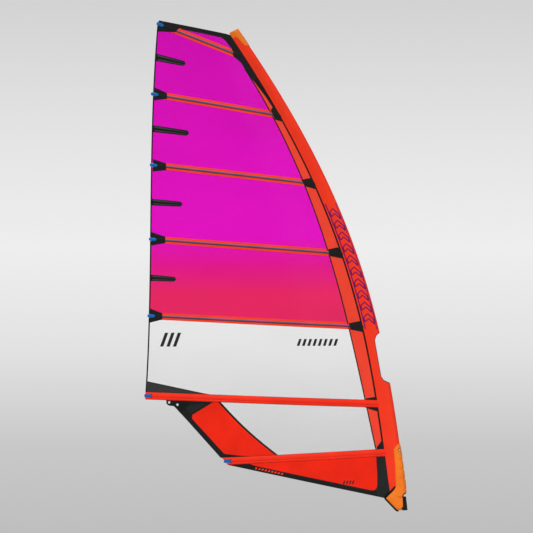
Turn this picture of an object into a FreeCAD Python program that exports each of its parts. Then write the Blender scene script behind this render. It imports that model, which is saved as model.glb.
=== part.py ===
"""Bare windsurf sail with cambers, battens and tack pulley.

Frame: millimetres, +X towards the luff (leading edge), +Z up the mast, +Y to port.
The origin is on the mast's axis at the foot of the sail.
Every soft panel is a patch of one cambered body surface, so neighbours meet edge to edge.
"""
import FreeCAD, Part
import math
import os

Vector = FreeCAD.Vector

# Body surface
DRAFT_DEPTH = 80.0          # deepest belly of the body, near the boom
SHEET = 1.2                 # film and cloth panels
HEAVY_SHEET = 3.0           # patches, bands and the mast pad's backing
SLAB = 300.0                # half depth of the cutters that trim the body surface
FACET = 200.0               # height of the straight stretches that make up a curved edge

# Luff sleeve
SLEEVE_WALL = 2.0
SLEEVE_LENGTHS = 12         # each skin is built in this many lengths, end to end
SEAM_GAP = 1.0              # half gap where the two sleeve skins close on the body
SLEEVE_FOOT = 112.0
SLEEVE_HEAD = 4290.0
SEAM_LAP = 8.0              # how far the body runs in between the two sleeve skins
MAST_INSET = 30.0           # mast axis behind the leading edge

# Battens: (aft x, aft z, fore x, fore z), and the sizes of flat and tube battens
BATTEN_LINES = [
    (-2226, 4369, -1458, 4068),
    (-2277, 3736, -1134, 3541),
    (-2286, 3097, -828, 2928),
    (-2295, 2429, -576, 2300),
    (-2308, 1739, -378, 1643),
    (-2336, 1020, -248, 947),
    (-1620, 432, -184, 508),
]
FLAT_POCKET = (31.0, 4.5)   # half width and half depth
TUBE_POCKET = (33.0, 13.0)
FLAT_ROD = (11.0, 1.75)
TUBE_ROD = 8.5
CHANNEL_PLAY = 0.6
END_CAP = 118.0             # length of the cap at the leech end of a flat pocket
TIP_LENGTH = 67.0
TIP_OUT = 9.0               # how far a tensioner stands out of the leech
TIP_HALF = 15.0
STEM_LENGTH = 45.0
CAP_LAP = 22.0              # how far the rod's channel runs into the leech cap
FLAT_TIP_DEPTH = 3.4        # half depth of a tensioner
TUBE_TIP_DEPTH = 9.0
STEM_HALF = (7.0, 1.5)
FIRST_CAMBER = 5            # battens from here down end in a camber
POCKET_REACH = 20.0         # how far a cambered pocket runs into the sleeve
FIRST_TUBE = 6

# Short battens between the full ones: leech height, inner end (x, z), half height at the leech
MINOR_BATTENS = [(4064, (-1975, 4005), 34), (3424, (-1945, 3380), 32),
                 (2766, (-2003, 2742), 32), (2081, (-2062, 2067), 29)]
MINOR_DEPTH = 3.6
MINOR_TIP = 14.0            # half height of a short pocket at its inner end
MINOR_WALL = 5.0

# Tapes
LEECH_TAPE = 12.0
LUFF_TAPE = 11.0
SLEEVE_TAPE = 15.0
THIN_TAPE = 1.6
HEAD_BAND = 42.0
FOOT_BAND = 44.0

# Straight edges: (aft x, aft z, fore x, fore z)
HEAD_LINE = (-2205, 4396, -1602, 4275)
CLEW_LINE = (-2070, 921, -1665, 470)
FOOT_LINE = (-1485, 376, -184, 99)
CORNER_TOP = (-2312, 1145, -1812, 1039)
BAND_START = -2190.0        # aft and fore ends of the head band
BAND_END = -1625.0
STRIP_START = 3870.0        # where the head reinforcement takes over from the luff panels
DIAGONAL_WIDTH = 22.0
DIAGONAL_HEAD = -1693.0     # where the diagonal seam leaves the sixth and reaches the seventh batten
DIAGONAL_FOOT = -1153.0
TACK_BACK = -255.0
TACK_FOOT = [(-186, 99), (-143, 143)]

# Cambers
CAMBER_LENGTH = 110.0
CAMBER_WALL = 3.5
CAMBER_PIVOT = 88.0         # batten end behind the mast axis
MAST_PLAY = 0.5

# Clew
EYELETS = [(-2122.0, 960.0), (-2047.0, 940.0)]
EYELET_BORE = 9.5
EYELET_RIM = 14.0
EYELET_HEIGHT = 6.0
CLEW_FRONT = -1917.0
CLEW_SHOULDER = (-1917.0, 846.0)
CLEW_TOP = -1737.0
CLEW_BACK = -2150.0
CLEW_NOSE = [(-2148, 952), (-2138, 938), (-2118, 930), (-2080, 927)]

# Boom cutout in the sleeve
CUTOUT = [(60, 1597), (-231, 1590), (-262, 1562), (-275, 1521), (-218, 1197), (-196, 1160), (-148, 1136),
          (60, 1126)]

# Head cap and the cup for the mast's tip
CAP_TOP = (-1599, 4275, -1508, 4317)
CAP_FOOT = 4150.0
CAP_WALL = 3.9
CAP_PLAY = 1.5
CAP_ROOF = 8.0
SLEEVE_DROP = 12.0          # the sleeve ends this far under the cap's top
TIP_CUP_BORE = 7.6
TIP_CUP_WALL = 3.0
TIP_CUP_DEPTH = 60.0
TIP_CUP_TOP = 4270.0

# Mast pad
PAD_THICKNESS = 8.0
PAD_PLAY = 0.9
PAD_REACH = 0.74            # share of the sleeve's section that the pad wraps, as a root
PAD_FOOT = 150.0
PAD_HEAD = 590.0

# Tack fairing and strap
FAIRING = [(-24, 106), (-22, -4), (-64, -16), (-80, -10), (-182, 99), (-92, 196), (-62, 150)]
FAIRING_ROOM = [(-10, 108), (-10, -40), (-66, -40), (-78, -7), (-177, 99), (-93, 183), (-66, 140), (-30, 100)]
FAIRING_HALF = 30.0
FAIRING_WALL = 3.0
STRAP_HEIGHT = 105.0
STRAP_BORE = 27.5
STRAP_WALL = 2.5
STRAP_AT = (-4.0, 4.0)      # x of the strap's axis, z of its foot
ZIP_START = Vector(-92, 0, 4)
ZIP_END = Vector(-172, 0, 90)

# Tack pulley
SHEAVE_RADIUS = 15.0
SHEAVE_WIDTH = 6.0
SHEAVE_PITCH = 8.0
SHEAVE_PIN = 4.0
BLOCK_AT = (-62.0, 40.0)    # the sheaves' axle, x and z
BLOCK_HANG = 34.0           # height of the hanging pin above the axle
RUNNING = 0.05              # radial clearance of a running fit
CHEEK = 3.0
ARM_WIDTH = 16.0
HANG_PIN = 3.2
YOKE_WIDTH = 18.0
YOKE_HEIGHT = 44.0


# ---------------------------------------------------------------- edges of the sail

def faceted(curve):
    """An edge as straight stretches between fixed heights, so that neighbours share it exactly."""
    def edge(z):
        low = FACET * math.floor(z / FACET)
        share = (z - low) / FACET
        return (1 - share) * curve(low) + share * curve(low + FACET)
    return edge


def luff_edge(z):
    s = z / 1000.0
    return 30 - 139 * s + 21 * s ** 2 - 26.4 * s ** 3 + 2.3 * s ** 4


def sleeve_width(z):
    s = z / 1000.0
    return 145 - 3.9 * s ** 2 + 0.38 * s ** 3


def sleeve_back(z):
    return luff_edge(z) - sleeve_width(z)


def sleeve_bulge(z):
    return 44.5 - 4.6 * z / 1000.0


@faceted
def body_front(z):
    return sleeve_back(z) + SEAM_LAP


@faceted
def strip_front(z):
    return sleeve_back(z) - SLEEVE_TAPE


@faceted
def strip_back(z):
    s = z / 1000.0
    return -131 - 250 * s + 38.6 * s ** 2 - 14.8 * s ** 3


@faceted
def film_front(z):
    return strip_back(z) - LUFF_TAPE


@faceted
def leech_edge(z):
    s = z / 1000.0
    return -2452 + 164 * s - 59.7 * s ** 2 + 7.76 * s ** 3


@faceted
def film_back(z):
    return leech_edge(z) + LEECH_TAPE


def mast_x(z):
    return luff_edge(z) - MAST_INSET


def mast_radius(z):
    s = z / 1000.0
    return 24 - 0.6 * s - 0.78 * s ** 2


def draft(x, z):
    """Height of the body surface: zero along the sleeve and the leech, belly to starboard."""
    chord = sleeve_back(z) - leech_edge(z)
    u = (sleeve_back(z) - x) / chord
    level = math.sin(math.pi * min(1.0, max(0.0, (z + 900) / 5600.0)))
    return -DRAFT_DEPTH * level * (math.sin(math.pi * u) + 0.18 * math.sin(2 * math.pi * u))


# ---------------------------------------------------------------- straight seam lines

def line(x0, z0, x1, z1, lift=0.0):
    """z along the line through two points, lifted square to it."""
    slope = (z1 - z0) / (x1 - x0)
    rise = lift * math.sqrt(1 + slope * slope)
    return lambda x: z0 + slope * (x - x0) + rise


def pocket_size(number):
    return TUBE_POCKET if number >= FIRST_TUBE else FLAT_POCKET


def pocket_edge(number, side):
    """Upper (side 1) or lower (side -1) edge of a batten pocket."""
    return line(*BATTEN_LINES[number - 1], lift=side * pocket_size(number)[0])


head_edge = line(*HEAD_LINE)
head_inner = line(*HEAD_LINE, lift=-HEAD_BAND)
clew_edge = line(*CLEW_LINE)
clew_inner = line(*CLEW_LINE, lift=FOOT_BAND)
foot_edge = line(*FOOT_LINE)
foot_inner = line(*FOOT_LINE, lift=FOOT_BAND)


def meet(seam, edge):
    """Where a seam line z(x) crosses an edge x(z)."""
    x = edge(2000.0)
    for _ in range(14):
        x = edge(seam(x))
    return x, seam(x)


def along(edge, start, end):
    """The corners of a faceted edge between two heights, in the order asked for."""
    low, high = sorted((start, end))
    first = int(math.floor(low / FACET)) + 1
    last = int(math.ceil(high / FACET)) - 1
    corners = [(edge(FACET * k), FACET * k) for k in range(first, last + 1)]
    return corners if end > start else corners[::-1]


def cell(lower, upper, aft, fore):
    """Outline between two seam lines and two edges."""
    low_aft = meet(lower, aft)
    low_fore = meet(lower, fore)
    high_fore = meet(upper, fore)
    high_aft = meet(upper, aft)
    rising = along(fore, low_fore[1], high_fore[1])
    falling = along(aft, high_aft[1], low_aft[1])
    return [low_aft, low_fore] + rising + [high_fore, high_aft] + falling


# ---------------------------------------------------------------- solids

def body_surface():
    rows = []
    for k in range(13):
        z = -20 + 4520 * k / 12.0
        chord = sleeve_back(z) - leech_edge(z)
        row = []
        for j in range(11):
            u = -0.10 + 1.16 * j / 10.0
            x = sleeve_back(z) - u * chord
            row.append(Vector(x, draft(x, z), z))
        rows.append(row)
    surface = Part.BSplineSurface()
    surface.interpolate(rows)
    return surface.toShape()


def slab(outline):
    """A cutter through the whole depth of the sail."""
    points = [Vector(x, -SLAB, z) for x, z in outline]
    face = Part.Face(Part.makePolygon(points + points[:1]))
    return face.extrude(Vector(0, 2 * SLAB, 0))


SURFACE = body_surface()


def patch(outline, thickness=SHEET, shift=0.0):
    """The piece of the body surface inside an outline, given a thickness along Y."""
    faces = SURFACE.common(slab(outline)).Faces
    solids = []
    for face in faces:
        sheet = face.copy()
        sheet.translate(Vector(0, shift - thickness / 2, 0))
        solids.append(sheet.extrude(Vector(0, thickness, 0)))
    return group(solids)


def group(solids):
    return solids[0] if len(solids) == 1 else Part.makeCompound(solids)


class Batten:
    """Stations along one batten, measured from the leech."""

    def __init__(self, number):
        self.number = number
        x0, z0, x1, z1 = BATTEN_LINES[number - 1]
        self.length = math.hypot(x1 - x0, z1 - z0)
        self.along = Vector(x1 - x0, 0, z1 - z0).multiply(1 / self.length)
        self.up = Vector(-self.along.z, 0, self.along.x)
        self.start = Vector(x0, 0, z0)
        self.tube = number >= FIRST_TUBE

    def point(self, s):
        flat = self.start + self.along * s
        return Vector(flat.x, draft(flat.x, flat.z), flat.z)

    def stations(self, s0, s1, most=300.0):
        count = max(2, int(math.ceil((s1 - s0) / most)))
        return [s0 + (s1 - s0) * k / count for k in range(count + 1)]

    def oval(self, s0, s1, half_width, half_depth, sides=16):
        """A tube of lens section, with flat facets round it."""
        wires = []
        for s in self.stations(s0, s1):
            middle = self.point(s)
            corners = []
            for k in range(sides):
                turn = 2 * math.pi * k / sides
                corners.append(middle + self.up * (half_width * math.cos(turn))
                               + Vector(0, half_depth * math.sin(turn), 0))
            wires.append(Part.makePolygon(corners + corners[:1]))
        return Part.makeLoft(wires, True, False)

    def flat(self, s0, s1, half_width, half_depth):
        wires = []
        for s in self.stations(s0, s1):
            middle = self.point(s)
            side = Vector(0, half_depth, 0)
            rise = self.up * half_width
            corners = [middle + rise + side, middle - rise + side, middle - rise - side, middle + rise - side]
            wires.append(Part.makePolygon(corners + corners[:1]))
        return Part.makeLoft(wires, True, False)

    def rod(self, s0, s1, play=0.0):
        if self.tube:
            return self.oval(s0, s1, TUBE_ROD + play, TUBE_ROD + play, 12)
        return self.flat(s0, s1, FLAT_ROD[0] + play, FLAT_ROD[1] + play)

    def slide_axis(self):
        """Unit vector out of the leech, along the batten's end."""
        out = self.point(0) - self.point(TIP_LENGTH)
        return out.normalize()

    def block(self, s0, s1, half_width, half_depth):
        """A straight bar laid along the batten's leech end."""
        out = self.slide_axis()
        across = out.cross(self.up)
        origin = self.point(0) - out * s1 - self.up * half_width - across * half_depth
        bar = Part.makeBox(s1 - s0, 2 * half_width, 2 * half_depth)
        axes = FreeCAD.Matrix(out.x, self.up.x, across.x, origin.x,
                              out.y, self.up.y, across.y, origin.y,
                              out.z, self.up.z, across.z, origin.z,
                              0, 0, 0, 1)
        bar.Placement = FreeCAD.Placement(axes)
        return bar


# ---------------------------------------------------------------- battens

def tip_depth(batten):
    return TUBE_TIP_DEPTH if batten.tube else FLAT_TIP_DEPTH


def tensioner(batten):
    head = batten.block(-TIP_OUT, TIP_LENGTH - TIP_OUT, TIP_HALF, tip_depth(batten))
    head = head.makeChamfer(1.5, head.Edges)
    stem = batten.block(TIP_LENGTH - TIP_OUT - 4, TIP_LENGTH - TIP_OUT + STEM_LENGTH, *STEM_HALF)
    slot = batten.block(-TIP_OUT - 1, -TIP_OUT + 5, 9.0, 1.0)
    return head.fuse(stem).cut(slot)


def pocket_front(batten):
    """Station where a pocket ends: inside the sleeve if it has a camber, just short of it if not."""
    if batten.number >= FIRST_CAMBER:
        return batten.length + POCKET_REACH
    corners = [meet(pocket_edge(batten.number, side), sleeve_back) for side in (1, -1)]
    reach = [(Vector(x, 0, z) - batten.start).dot(batten.along) for x, z in corners]
    return min(reach) - 3.0


def pocket_pieces(batten):
    """The sewn pocket, and on a flat batten the separate cap at its leech end."""
    half_width, half_depth = pocket_size(batten.number)
    fore = pocket_front(batten)
    channel = batten.rod(END_CAP - CAP_LAP, fore + 1, CHANNEL_PLAY)
    notch = batten.block(-30, TIP_LENGTH - TIP_OUT + 1, TIP_HALF + 0.6, 2 * TUBE_POCKET[1])
    stem_room = batten.block(TIP_LENGTH - TIP_OUT, END_CAP - 15, STEM_HALF[0] + 0.6, STEM_HALF[1] + 0.8)
    if batten.tube:
        pocket = batten.oval(0, fore, half_width, half_depth).cut(channel).cut(notch).cut(stem_room)
        return pocket, None
    pocket = batten.oval(END_CAP, fore, half_width, half_depth).cut(channel)
    cap = batten.oval(0, END_CAP, half_width, half_depth).cut(channel).cut(notch).cut(stem_room)
    return pocket, cap


def batten_rod(batten):
    fore = pocket_front(batten) - 2.0
    if batten.number >= FIRST_CAMBER:
        fore = camber_pivot_station(batten) - 6.0
    return batten.rod(END_CAP - 14, fore)


# ---------------------------------------------------------------- sleeve, cambers, head

def sleeve_section(z, side, outer=0.0, reach=1.0):
    """Points of the sleeve's outer skin at one height, from the leading edge aft."""
    points = []
    for k in range(9):
        root = reach * k / 8.0
        bulge = (sleeve_bulge(z) + outer) * math.sin(math.pi * root)
        x = luff_edge(z) + outer - root * root * (sleeve_width(z) + outer)
        points.append(Vector(x, side * (bulge + (SEAM_GAP + SLEEVE_WALL) * root), z))
    return points


def sleeve_wire(z, side, outer=0.0, wall=SLEEVE_WALL, reach=1.0):
    skin = sleeve_section(z, side, outer, reach)
    lining = sleeve_section(z, side, outer - wall, reach)
    lining = [Vector(p.x, p.y - side * wall * min(1.0, k / 4.0) * 0.5, z) for k, p in enumerate(lining)]
    return Part.makePolygon(skin + lining[::-1] + skin[:1])


def sleeve_half(side):
    """One skin of the sleeve, in short lengths that meet end to end."""
    tall = (SLEEVE_HEAD - SLEEVE_FOOT) / SLEEVE_LENGTHS
    heights = [SLEEVE_FOOT + tall * k for k in range(SLEEVE_LENGTHS + 1)]
    shell = Part.makeLoft([sleeve_wire(z, side) for z in heights], True, False)
    shell = shell.cut(slab(CUTOUT))
    for number in range(FIRST_CAMBER, 8):
        batten = Batten(number)
        half_width, half_depth = pocket_size(number)
        shell = shell.cut(batten.oval(batten.length - 40, batten.length + 60,
                                      half_width + 0.8, half_depth + 0.8))
    shell = shell.cut(above_cap(-SLEEVE_DROP))
    lengths = []
    for z in heights[:-1]:
        span = Part.makeBox(2200, 200, tall, Vector(-2000, -100, z))
        lengths += shell.common(span).Solids
    return Part.makeCompound(lengths)


def mast_frame(z):
    """Point on the mast axis at a height, and the unit vector up the mast."""
    up = Vector(mast_x(z + 1) - mast_x(z - 1), 0, 2).normalize()
    return Vector(mast_x(z), 0, z), up


def camber_height(batten):
    x0, z0, x1, z1 = BATTEN_LINES[batten.number - 1]
    reach = line(x0, z0, x1, z1)
    return meet(reach, mast_x)[1]


def camber_pivot_station(batten):
    z = camber_height(batten)
    middle = mast_frame(z)[0]
    return (middle - batten.start).dot(batten.along) - CAMBER_PIVOT


def camber(batten):
    """A half-round fork on the mast with a forked tail on the batten's end."""
    z = camber_height(batten)
    middle, up = mast_frame(z)
    back = Vector(-up.z, 0, up.x)
    bore = mast_radius(z) + MAST_PLAY
    outer = bore + CAMBER_WALL
    base = middle - up * (CAMBER_LENGTH / 2)
    ring = Part.makeCylinder(outer, CAMBER_LENGTH, base, up)
    tail_start = base + back * (bore + 1) - Vector(0, 6, 0) + up * (CAMBER_LENGTH / 2 - 14)
    tail = oriented_box(tail_start, back, up, CAMBER_PIVOT - bore - 13, 28, 12)
    web_start = base + back * (bore + 1) - Vector(0, 2, 0) + up * 12
    web = oriented_box(web_start, back, up, 24, CAMBER_LENGTH - 24, 4)
    body = ring.fuse([tail, web]).cut(Part.makeCylinder(bore, CAMBER_LENGTH + 2, base - up, up))
    front_cut = oriented_box(base - up - back * 60 - Vector(0, 60, 0), back, up, 52, CAMBER_LENGTH + 2, 120)
    return body.cut(front_cut)


def oriented_box(corner, first, second, length, width, height):
    """Box with its sides along first, second and +Y, from one corner."""
    third = Vector(0, 1, 0)
    box = Part.makeBox(length, width, height)
    axes = FreeCAD.Matrix(first.x, second.x, third.x, corner.x,
                          first.y, second.y, third.y, corner.y,
                          first.z, second.z, third.z, corner.z,
                          0, 0, 0, 1)
    if first.cross(second).y < 0:
        corner = corner + third * height
        axes = FreeCAD.Matrix(first.x, second.x, -third.x, corner.x,
                              first.y, second.y, -third.y, corner.y,
                              first.z, second.z, -third.z, corner.z,
                              0, 0, 0, 1)
    box.Placement = FreeCAD.Placement(axes)
    return box


def cap_wire(z, outer, tail=0.0):
    """A closed section round both skins of the sleeve; tail carries its back edge aft."""
    halves = []
    for side in (1, -1):
        section = sleeve_section(z, side, outer)
        halves.append([p + Vector(-tail * k / 8.0, side * outer * k / 8.0, 0) for k, p in enumerate(section)])
    far, near = halves
    outline = far + near[:0:-1]
    return Part.makePolygon(outline + outline[:1])


def above_cap(lift):
    """Everything above a line that runs beside the cap's slanted top."""
    top = line(*CAP_TOP, lift=lift)
    aft, fore = CAP_TOP[0] - 200, CAP_TOP[2] + 200
    return slab([on(top, aft), on(top, fore), (fore, SLEEVE_HEAD + 400), (aft, SLEEVE_HEAD + 400)])


def head_cap():
    """Padded cap over the sleeve's top, hollow so that it fits over the sleeve."""
    heights = [CAP_FOOT + (SLEEVE_HEAD + 50 - CAP_FOOT) * k / 4.0 for k in range(5)]
    outside = Part.makeLoft([cap_wire(z, CAP_WALL) for z in heights], True, False).cut(above_cap(0))
    heights[0] -= 30
    inside = Part.makeLoft([cap_wire(z, CAP_PLAY) for z in heights], True, False).cut(above_cap(-CAP_ROOF))
    return outside.cut(inside)


def tip_cup():
    top, up = mast_frame(TIP_CUP_TOP)
    mouth = top - up * (TIP_CUP_DEPTH + 6)
    outside = Part.makeCylinder(TIP_CUP_BORE + TIP_CUP_WALL, TIP_CUP_DEPTH + 6, mouth, up)
    return outside.cut(Part.makeCylinder(TIP_CUP_BORE, TIP_CUP_DEPTH, mouth, up))


# ---------------------------------------------------------------- mast pad and tack

def pad_wire(z):
    near = sleeve_section(z, -1, PAD_THICKNESS + PAD_PLAY, PAD_REACH)
    far = sleeve_section(z, 1, PAD_THICKNESS + PAD_PLAY, PAD_REACH)
    near_in = sleeve_section(z, -1, PAD_PLAY, PAD_REACH)
    far_in = sleeve_section(z, 1, PAD_PLAY, PAD_REACH)
    outline = far[::-1] + near[1:] + near_in[::-1] + far_in[1:]
    return Part.makePolygon(outline + outline[:1])


def mast_pad():
    heights = [PAD_FOOT + (PAD_HEAD - PAD_FOOT) * k / 3.0 for k in range(4)]
    pad = Part.makeLoft([pad_wire(z) for z in heights], True, False)
    slope = slab([(-200, 480), (-50, 596), (60, 600), (60, 700), (-200, 700)])
    return pad.cut(slope)


def tack_fairing():
    """Soft cover over the tack pulley, open towards the mast and at the foot."""
    outline = [Vector(x, -FAIRING_HALF, z) for x, z in FAIRING]
    solid = Part.Face(Part.makePolygon(outline + outline[:1])).extrude(Vector(0, 2 * FAIRING_HALF, 0))
    inside = [Vector(x, FAIRING_WALL - FAIRING_HALF, z) for x, z in FAIRING_ROOM]
    room = Part.Face(Part.makePolygon(inside + inside[:1]))
    room = room.extrude(Vector(0, 2 * (FAIRING_HALF - FAIRING_WALL), 0))
    sleeve = Part.makeLoft([cap_wire(z, 1.5, 1.5) for z in (106, 160, 214)], True, False)
    return solid.cut(room).cut(sleeve)


def tack_strap():
    """Webbing round the front of the mast foot."""
    x, z = STRAP_AT
    up = Vector(0, 0, 1)
    ring = Part.makeCylinder(STRAP_BORE + STRAP_WALL, STRAP_HEIGHT, Vector(x, 0, z), up)
    ring = ring.cut(Part.makeCylinder(STRAP_BORE, STRAP_HEIGHT + 2, Vector(x, 0, z - 1), up))
    return ring.cut(Part.makeBox(40, 80, STRAP_HEIGHT + 4, Vector(x - 51, -40, z - 2)))


def block_cheek(y):
    x, z = BLOCK_AT
    disc = Part.makeCylinder(SHEAVE_RADIUS + 4, CHEEK, Vector(x, y, z), Vector(0, 1, 0))
    arm = Part.makeBox(ARM_WIDTH, CHEEK, BLOCK_HANG + 8, Vector(x - ARM_WIDTH / 2, y, z))
    return disc.fuse(arm)


def pulley_block():
    x, z = BLOCK_AT
    half = 1.5 * SHEAVE_PITCH + 0.5
    cheeks = block_cheek(-half - CHEEK).fuse(block_cheek(half))
    corner = Vector(x - ARM_WIDTH / 2, -half - CHEEK, z + SHEAVE_RADIUS + 5)
    bridge = Part.makeBox(ARM_WIDTH, 2 * (half + CHEEK), 6, corner)
    block = cheeks.fuse(bridge)
    pin = Vector(x, -60, z)
    hang = Vector(x, -60, z + BLOCK_HANG)
    return block.cut(Part.makeCylinder(SHEAVE_PIN, 120, pin, Vector(0, 1, 0))).cut(
        Part.makeCylinder(HANG_PIN + RUNNING, 120, hang, Vector(0, 1, 0)))


def pulley_axle():
    x, z = BLOCK_AT
    half = 1.5 * SHEAVE_PITCH + 0.5 + CHEEK
    return Part.makeCylinder(SHEAVE_PIN, 2 * half, Vector(x, -half, z), Vector(0, 1, 0))


def sheave(index):
    x, z = BLOCK_AT
    middle = (index - 2) * SHEAVE_PITCH
    half = SHEAVE_WIDTH / 2
    bore = SHEAVE_PIN + RUNNING
    profile = [(bore, -half), (SHEAVE_RADIUS, -half), (SHEAVE_RADIUS - 3, 0), (SHEAVE_RADIUS, half), (bore, half)]
    points = [Vector(x + r, middle + w, z) for r, w in profile]
    face = Part.Face(Part.makePolygon(points + points[:1]))
    return face.revolve(Vector(x, 0, z), Vector(0, 1, 0), 360)


def pulley_hanger():
    """Pin and webbing yoke that carry the block under the sleeve."""
    x, z = BLOCK_AT
    half = FAIRING_HALF - 4
    top = z + BLOCK_HANG
    pin = Part.makeCylinder(HANG_PIN, 2 * half, Vector(x, -half, top), Vector(0, 1, 0))
    straps = []
    for side in (-1, 1):
        y = side * (half - 2) - 1.5
        straps.append(Part.makeBox(YOKE_WIDTH, 3, YOKE_HEIGHT, Vector(x - YOKE_WIDTH / 2, y, top - 7)))
    return pin.fuse(straps)


def zip_slider():
    run = (ZIP_END - ZIP_START).normalize()
    out = Vector(-run.z, 0, run.x)
    if out.x > 0:
        out = out * -1
    corner = ZIP_START + out * 3.2 - Vector(0, 5, 0)
    return oriented_box(corner, run, out, 14, 4, 10)


def clew_eyelet(x, z):
    y = draft(x, z)
    axis = Vector(0, 1, 0)
    rim = Part.makeCylinder(EYELET_RIM, EYELET_HEIGHT, Vector(x, y - EYELET_HEIGHT / 2, z), axis)
    bore = Part.makeCylinder(EYELET_BORE, EYELET_HEIGHT + 2, Vector(x, y - EYELET_HEIGHT / 2 - 1, z), axis)
    return rim.cut(bore)


# ---------------------------------------------------------------- minor battens

def minor_outline(height, inner, half, inset=0.0):
    back = film_back(height) + 5 + inset
    x, z = inner
    return [(back, height + half - inset), (back, height - half + inset),
            (x - inset, z - MINOR_TIP + inset / 2), (x - inset, z + MINOR_TIP - inset / 2)]


def minor_pocket(height, inner, half):
    lift = -(MINOR_DEPTH + SHEET) / 2 - 0.3
    pocket = patch(minor_outline(height, inner, half), MINOR_DEPTH, lift)
    return pocket.cut(patch(minor_outline(height, inner, half, MINOR_WALL), 1.8, lift))


def minor_batten(height, inner, half):
    lift = -(MINOR_DEPTH + SHEET) / 2 - 0.3
    return patch(minor_outline(height, inner, half, MINOR_WALL + 3), 1.2, lift)


# ---------------------------------------------------------------- body panels

upper = {number: pocket_edge(number, 1) for number in range(1, 8)}
lower = {number: pocket_edge(number, -1) for number in range(1, 8)}


def cross(first, second):
    """Where two straight seam lines cross."""
    near = first(0) - second(0)
    far = first(1000.0) - second(1000.0)
    x = 1000.0 * near / (near - far)
    return x, first(x)


def on(seam, x):
    return x, seam(x)


def level(z):
    return lambda x: z


def pocket_stop(number):
    """The cloth between the front end of a pocket and the sleeve."""
    batten = Batten(number)
    end = batten.point(pocket_front(batten) + 0.5)
    rise = batten.up * pocket_size(number)[0]
    corners = [((end + side).x, (end + side).z) for side in (rise, -rise)]
    return patch(corners + [meet(lower[number], body_front), meet(upper[number], body_front)])


def head_band():
    return patch([on(upper[1], BAND_START), cross(upper[1], head_inner), on(head_inner, BAND_END),
                  on(head_edge, BAND_END + 15), on(head_edge, BAND_START)], HEAVY_SHEET)


def head_film():
    return patch([cross(upper[1], head_inner), meet(upper[1], film_front), on(head_inner, BAND_END)])


def head_reinforcement():
    above = patch([meet(upper[1], film_front), meet(upper[1], body_front), (body_front(4250), 4250),
                   on(head_edge, BAND_END + 15), on(head_inner, BAND_END)], HEAVY_SHEET)
    below = patch(cell(level(STRIP_START), lower[1], film_front, body_front), HEAVY_SHEET)
    return group([above, below, pocket_stop(1)])


def gap_cell(gap, aft, fore):
    """Outline between battens gap and gap + 1."""
    return cell(upper[gap + 1], lower[gap], aft, fore)


def film_panel(gap):
    return patch(gap_cell(gap, film_back, film_front))


def corner_outline():
    top = line(*CORNER_TOP)
    return [meet(upper[6], film_back), on(upper[6], CORNER_TOP[2]), meet(top, film_back)]


def window_panel():
    return film_panel(5).cut(slab(corner_outline()))


def lower_window():
    head, foot = DIAGONAL_HEAD + DIAGONAL_WIDTH, DIAGONAL_FOOT + DIAGONAL_WIDTH
    low, high = meet(upper[7], film_front), meet(lower[6], film_front)
    return patch([on(upper[7], foot), low] + along(film_front, low[1], high[1]) + [high, on(lower[6], head)])


def clew_patch():
    outline = [on(lower[6], CLEW_BACK)] + CLEW_NOSE + [on(clew_edge, CLEW_FRONT),
               CLEW_SHOULDER, on(lower[6], CLEW_TOP)]
    panel = patch(outline, HEAVY_SHEET)
    for x, z in EYELETS:
        hole = Part.makeCylinder(EYELET_RIM, 2 * SLAB, Vector(x, -SLAB, z), Vector(0, 1, 0))
        panel = panel.cut(hole)
    return panel


def foot_panel_upper():
    return patch([CLEW_SHOULDER, on(clew_inner, CLEW_FRONT), cross(clew_inner, upper[7]),
                  on(upper[7], DIAGONAL_FOOT), on(lower[6], DIAGONAL_HEAD), on(lower[6], CLEW_TOP)])


def foot_panel_lower():
    return patch([cross(lower[7], foot_inner), on(foot_inner, TACK_BACK), on(lower[7], TACK_BACK)])


def foot_band():
    clew = patch([on(clew_edge, CLEW_FRONT), cross(clew_edge, upper[7]), cross(clew_inner, upper[7]),
                  on(clew_inner, CLEW_FRONT)], HEAVY_SHEET)
    foot = patch([cross(foot_edge, lower[7]), on(foot_edge, TACK_BACK), on(foot_inner, TACK_BACK),
                  cross(foot_inner, lower[7])], HEAVY_SHEET)
    seam = patch([on(upper[7], DIAGONAL_FOOT), on(upper[7], DIAGONAL_FOOT + DIAGONAL_WIDTH),
                  on(lower[6], DIAGONAL_HEAD + DIAGONAL_WIDTH), on(lower[6], DIAGONAL_HEAD)], HEAVY_SHEET)
    return group([clew, foot, seam])


def tack_panel():
    top = meet(lower[7], body_front)
    foot = TACK_FOOT[-1]
    side = along(body_front, foot[1], top[1])
    return patch([on(foot_edge, TACK_BACK)] + TACK_FOOT + side + [top, on(lower[7], TACK_BACK)], HEAVY_SHEET)


def leech_tape():
    return group([patch(gap_cell(gap, leech_edge, film_back), HEAVY_SHEET) for gap in range(1, 6)])


def seam_tapes():
    """The tape between body and luff panels, and the tape sewn into the sleeve."""
    strips = []
    for aft, fore, thickness in ((film_front, strip_back, HEAVY_SHEET), (strip_front, body_front, THIN_TAPE)):
        strips.append(patch(cell(upper[2], level(STRIP_START), aft, fore), thickness))
        strips += [patch(gap_cell(gap, aft, fore), thickness) for gap in range(2, 7)]
    return group(strips)


def luff_panels():
    strips = [patch(cell(upper[2], level(STRIP_START), strip_back, strip_front))]
    strips += [patch(gap_cell(gap, strip_back, strip_front)) for gap in range(2, 7)]
    return group(strips + [pocket_stop(number) for number in range(2, FIRST_CAMBER)])


# ---------------------------------------------------------------- nodes

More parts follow.
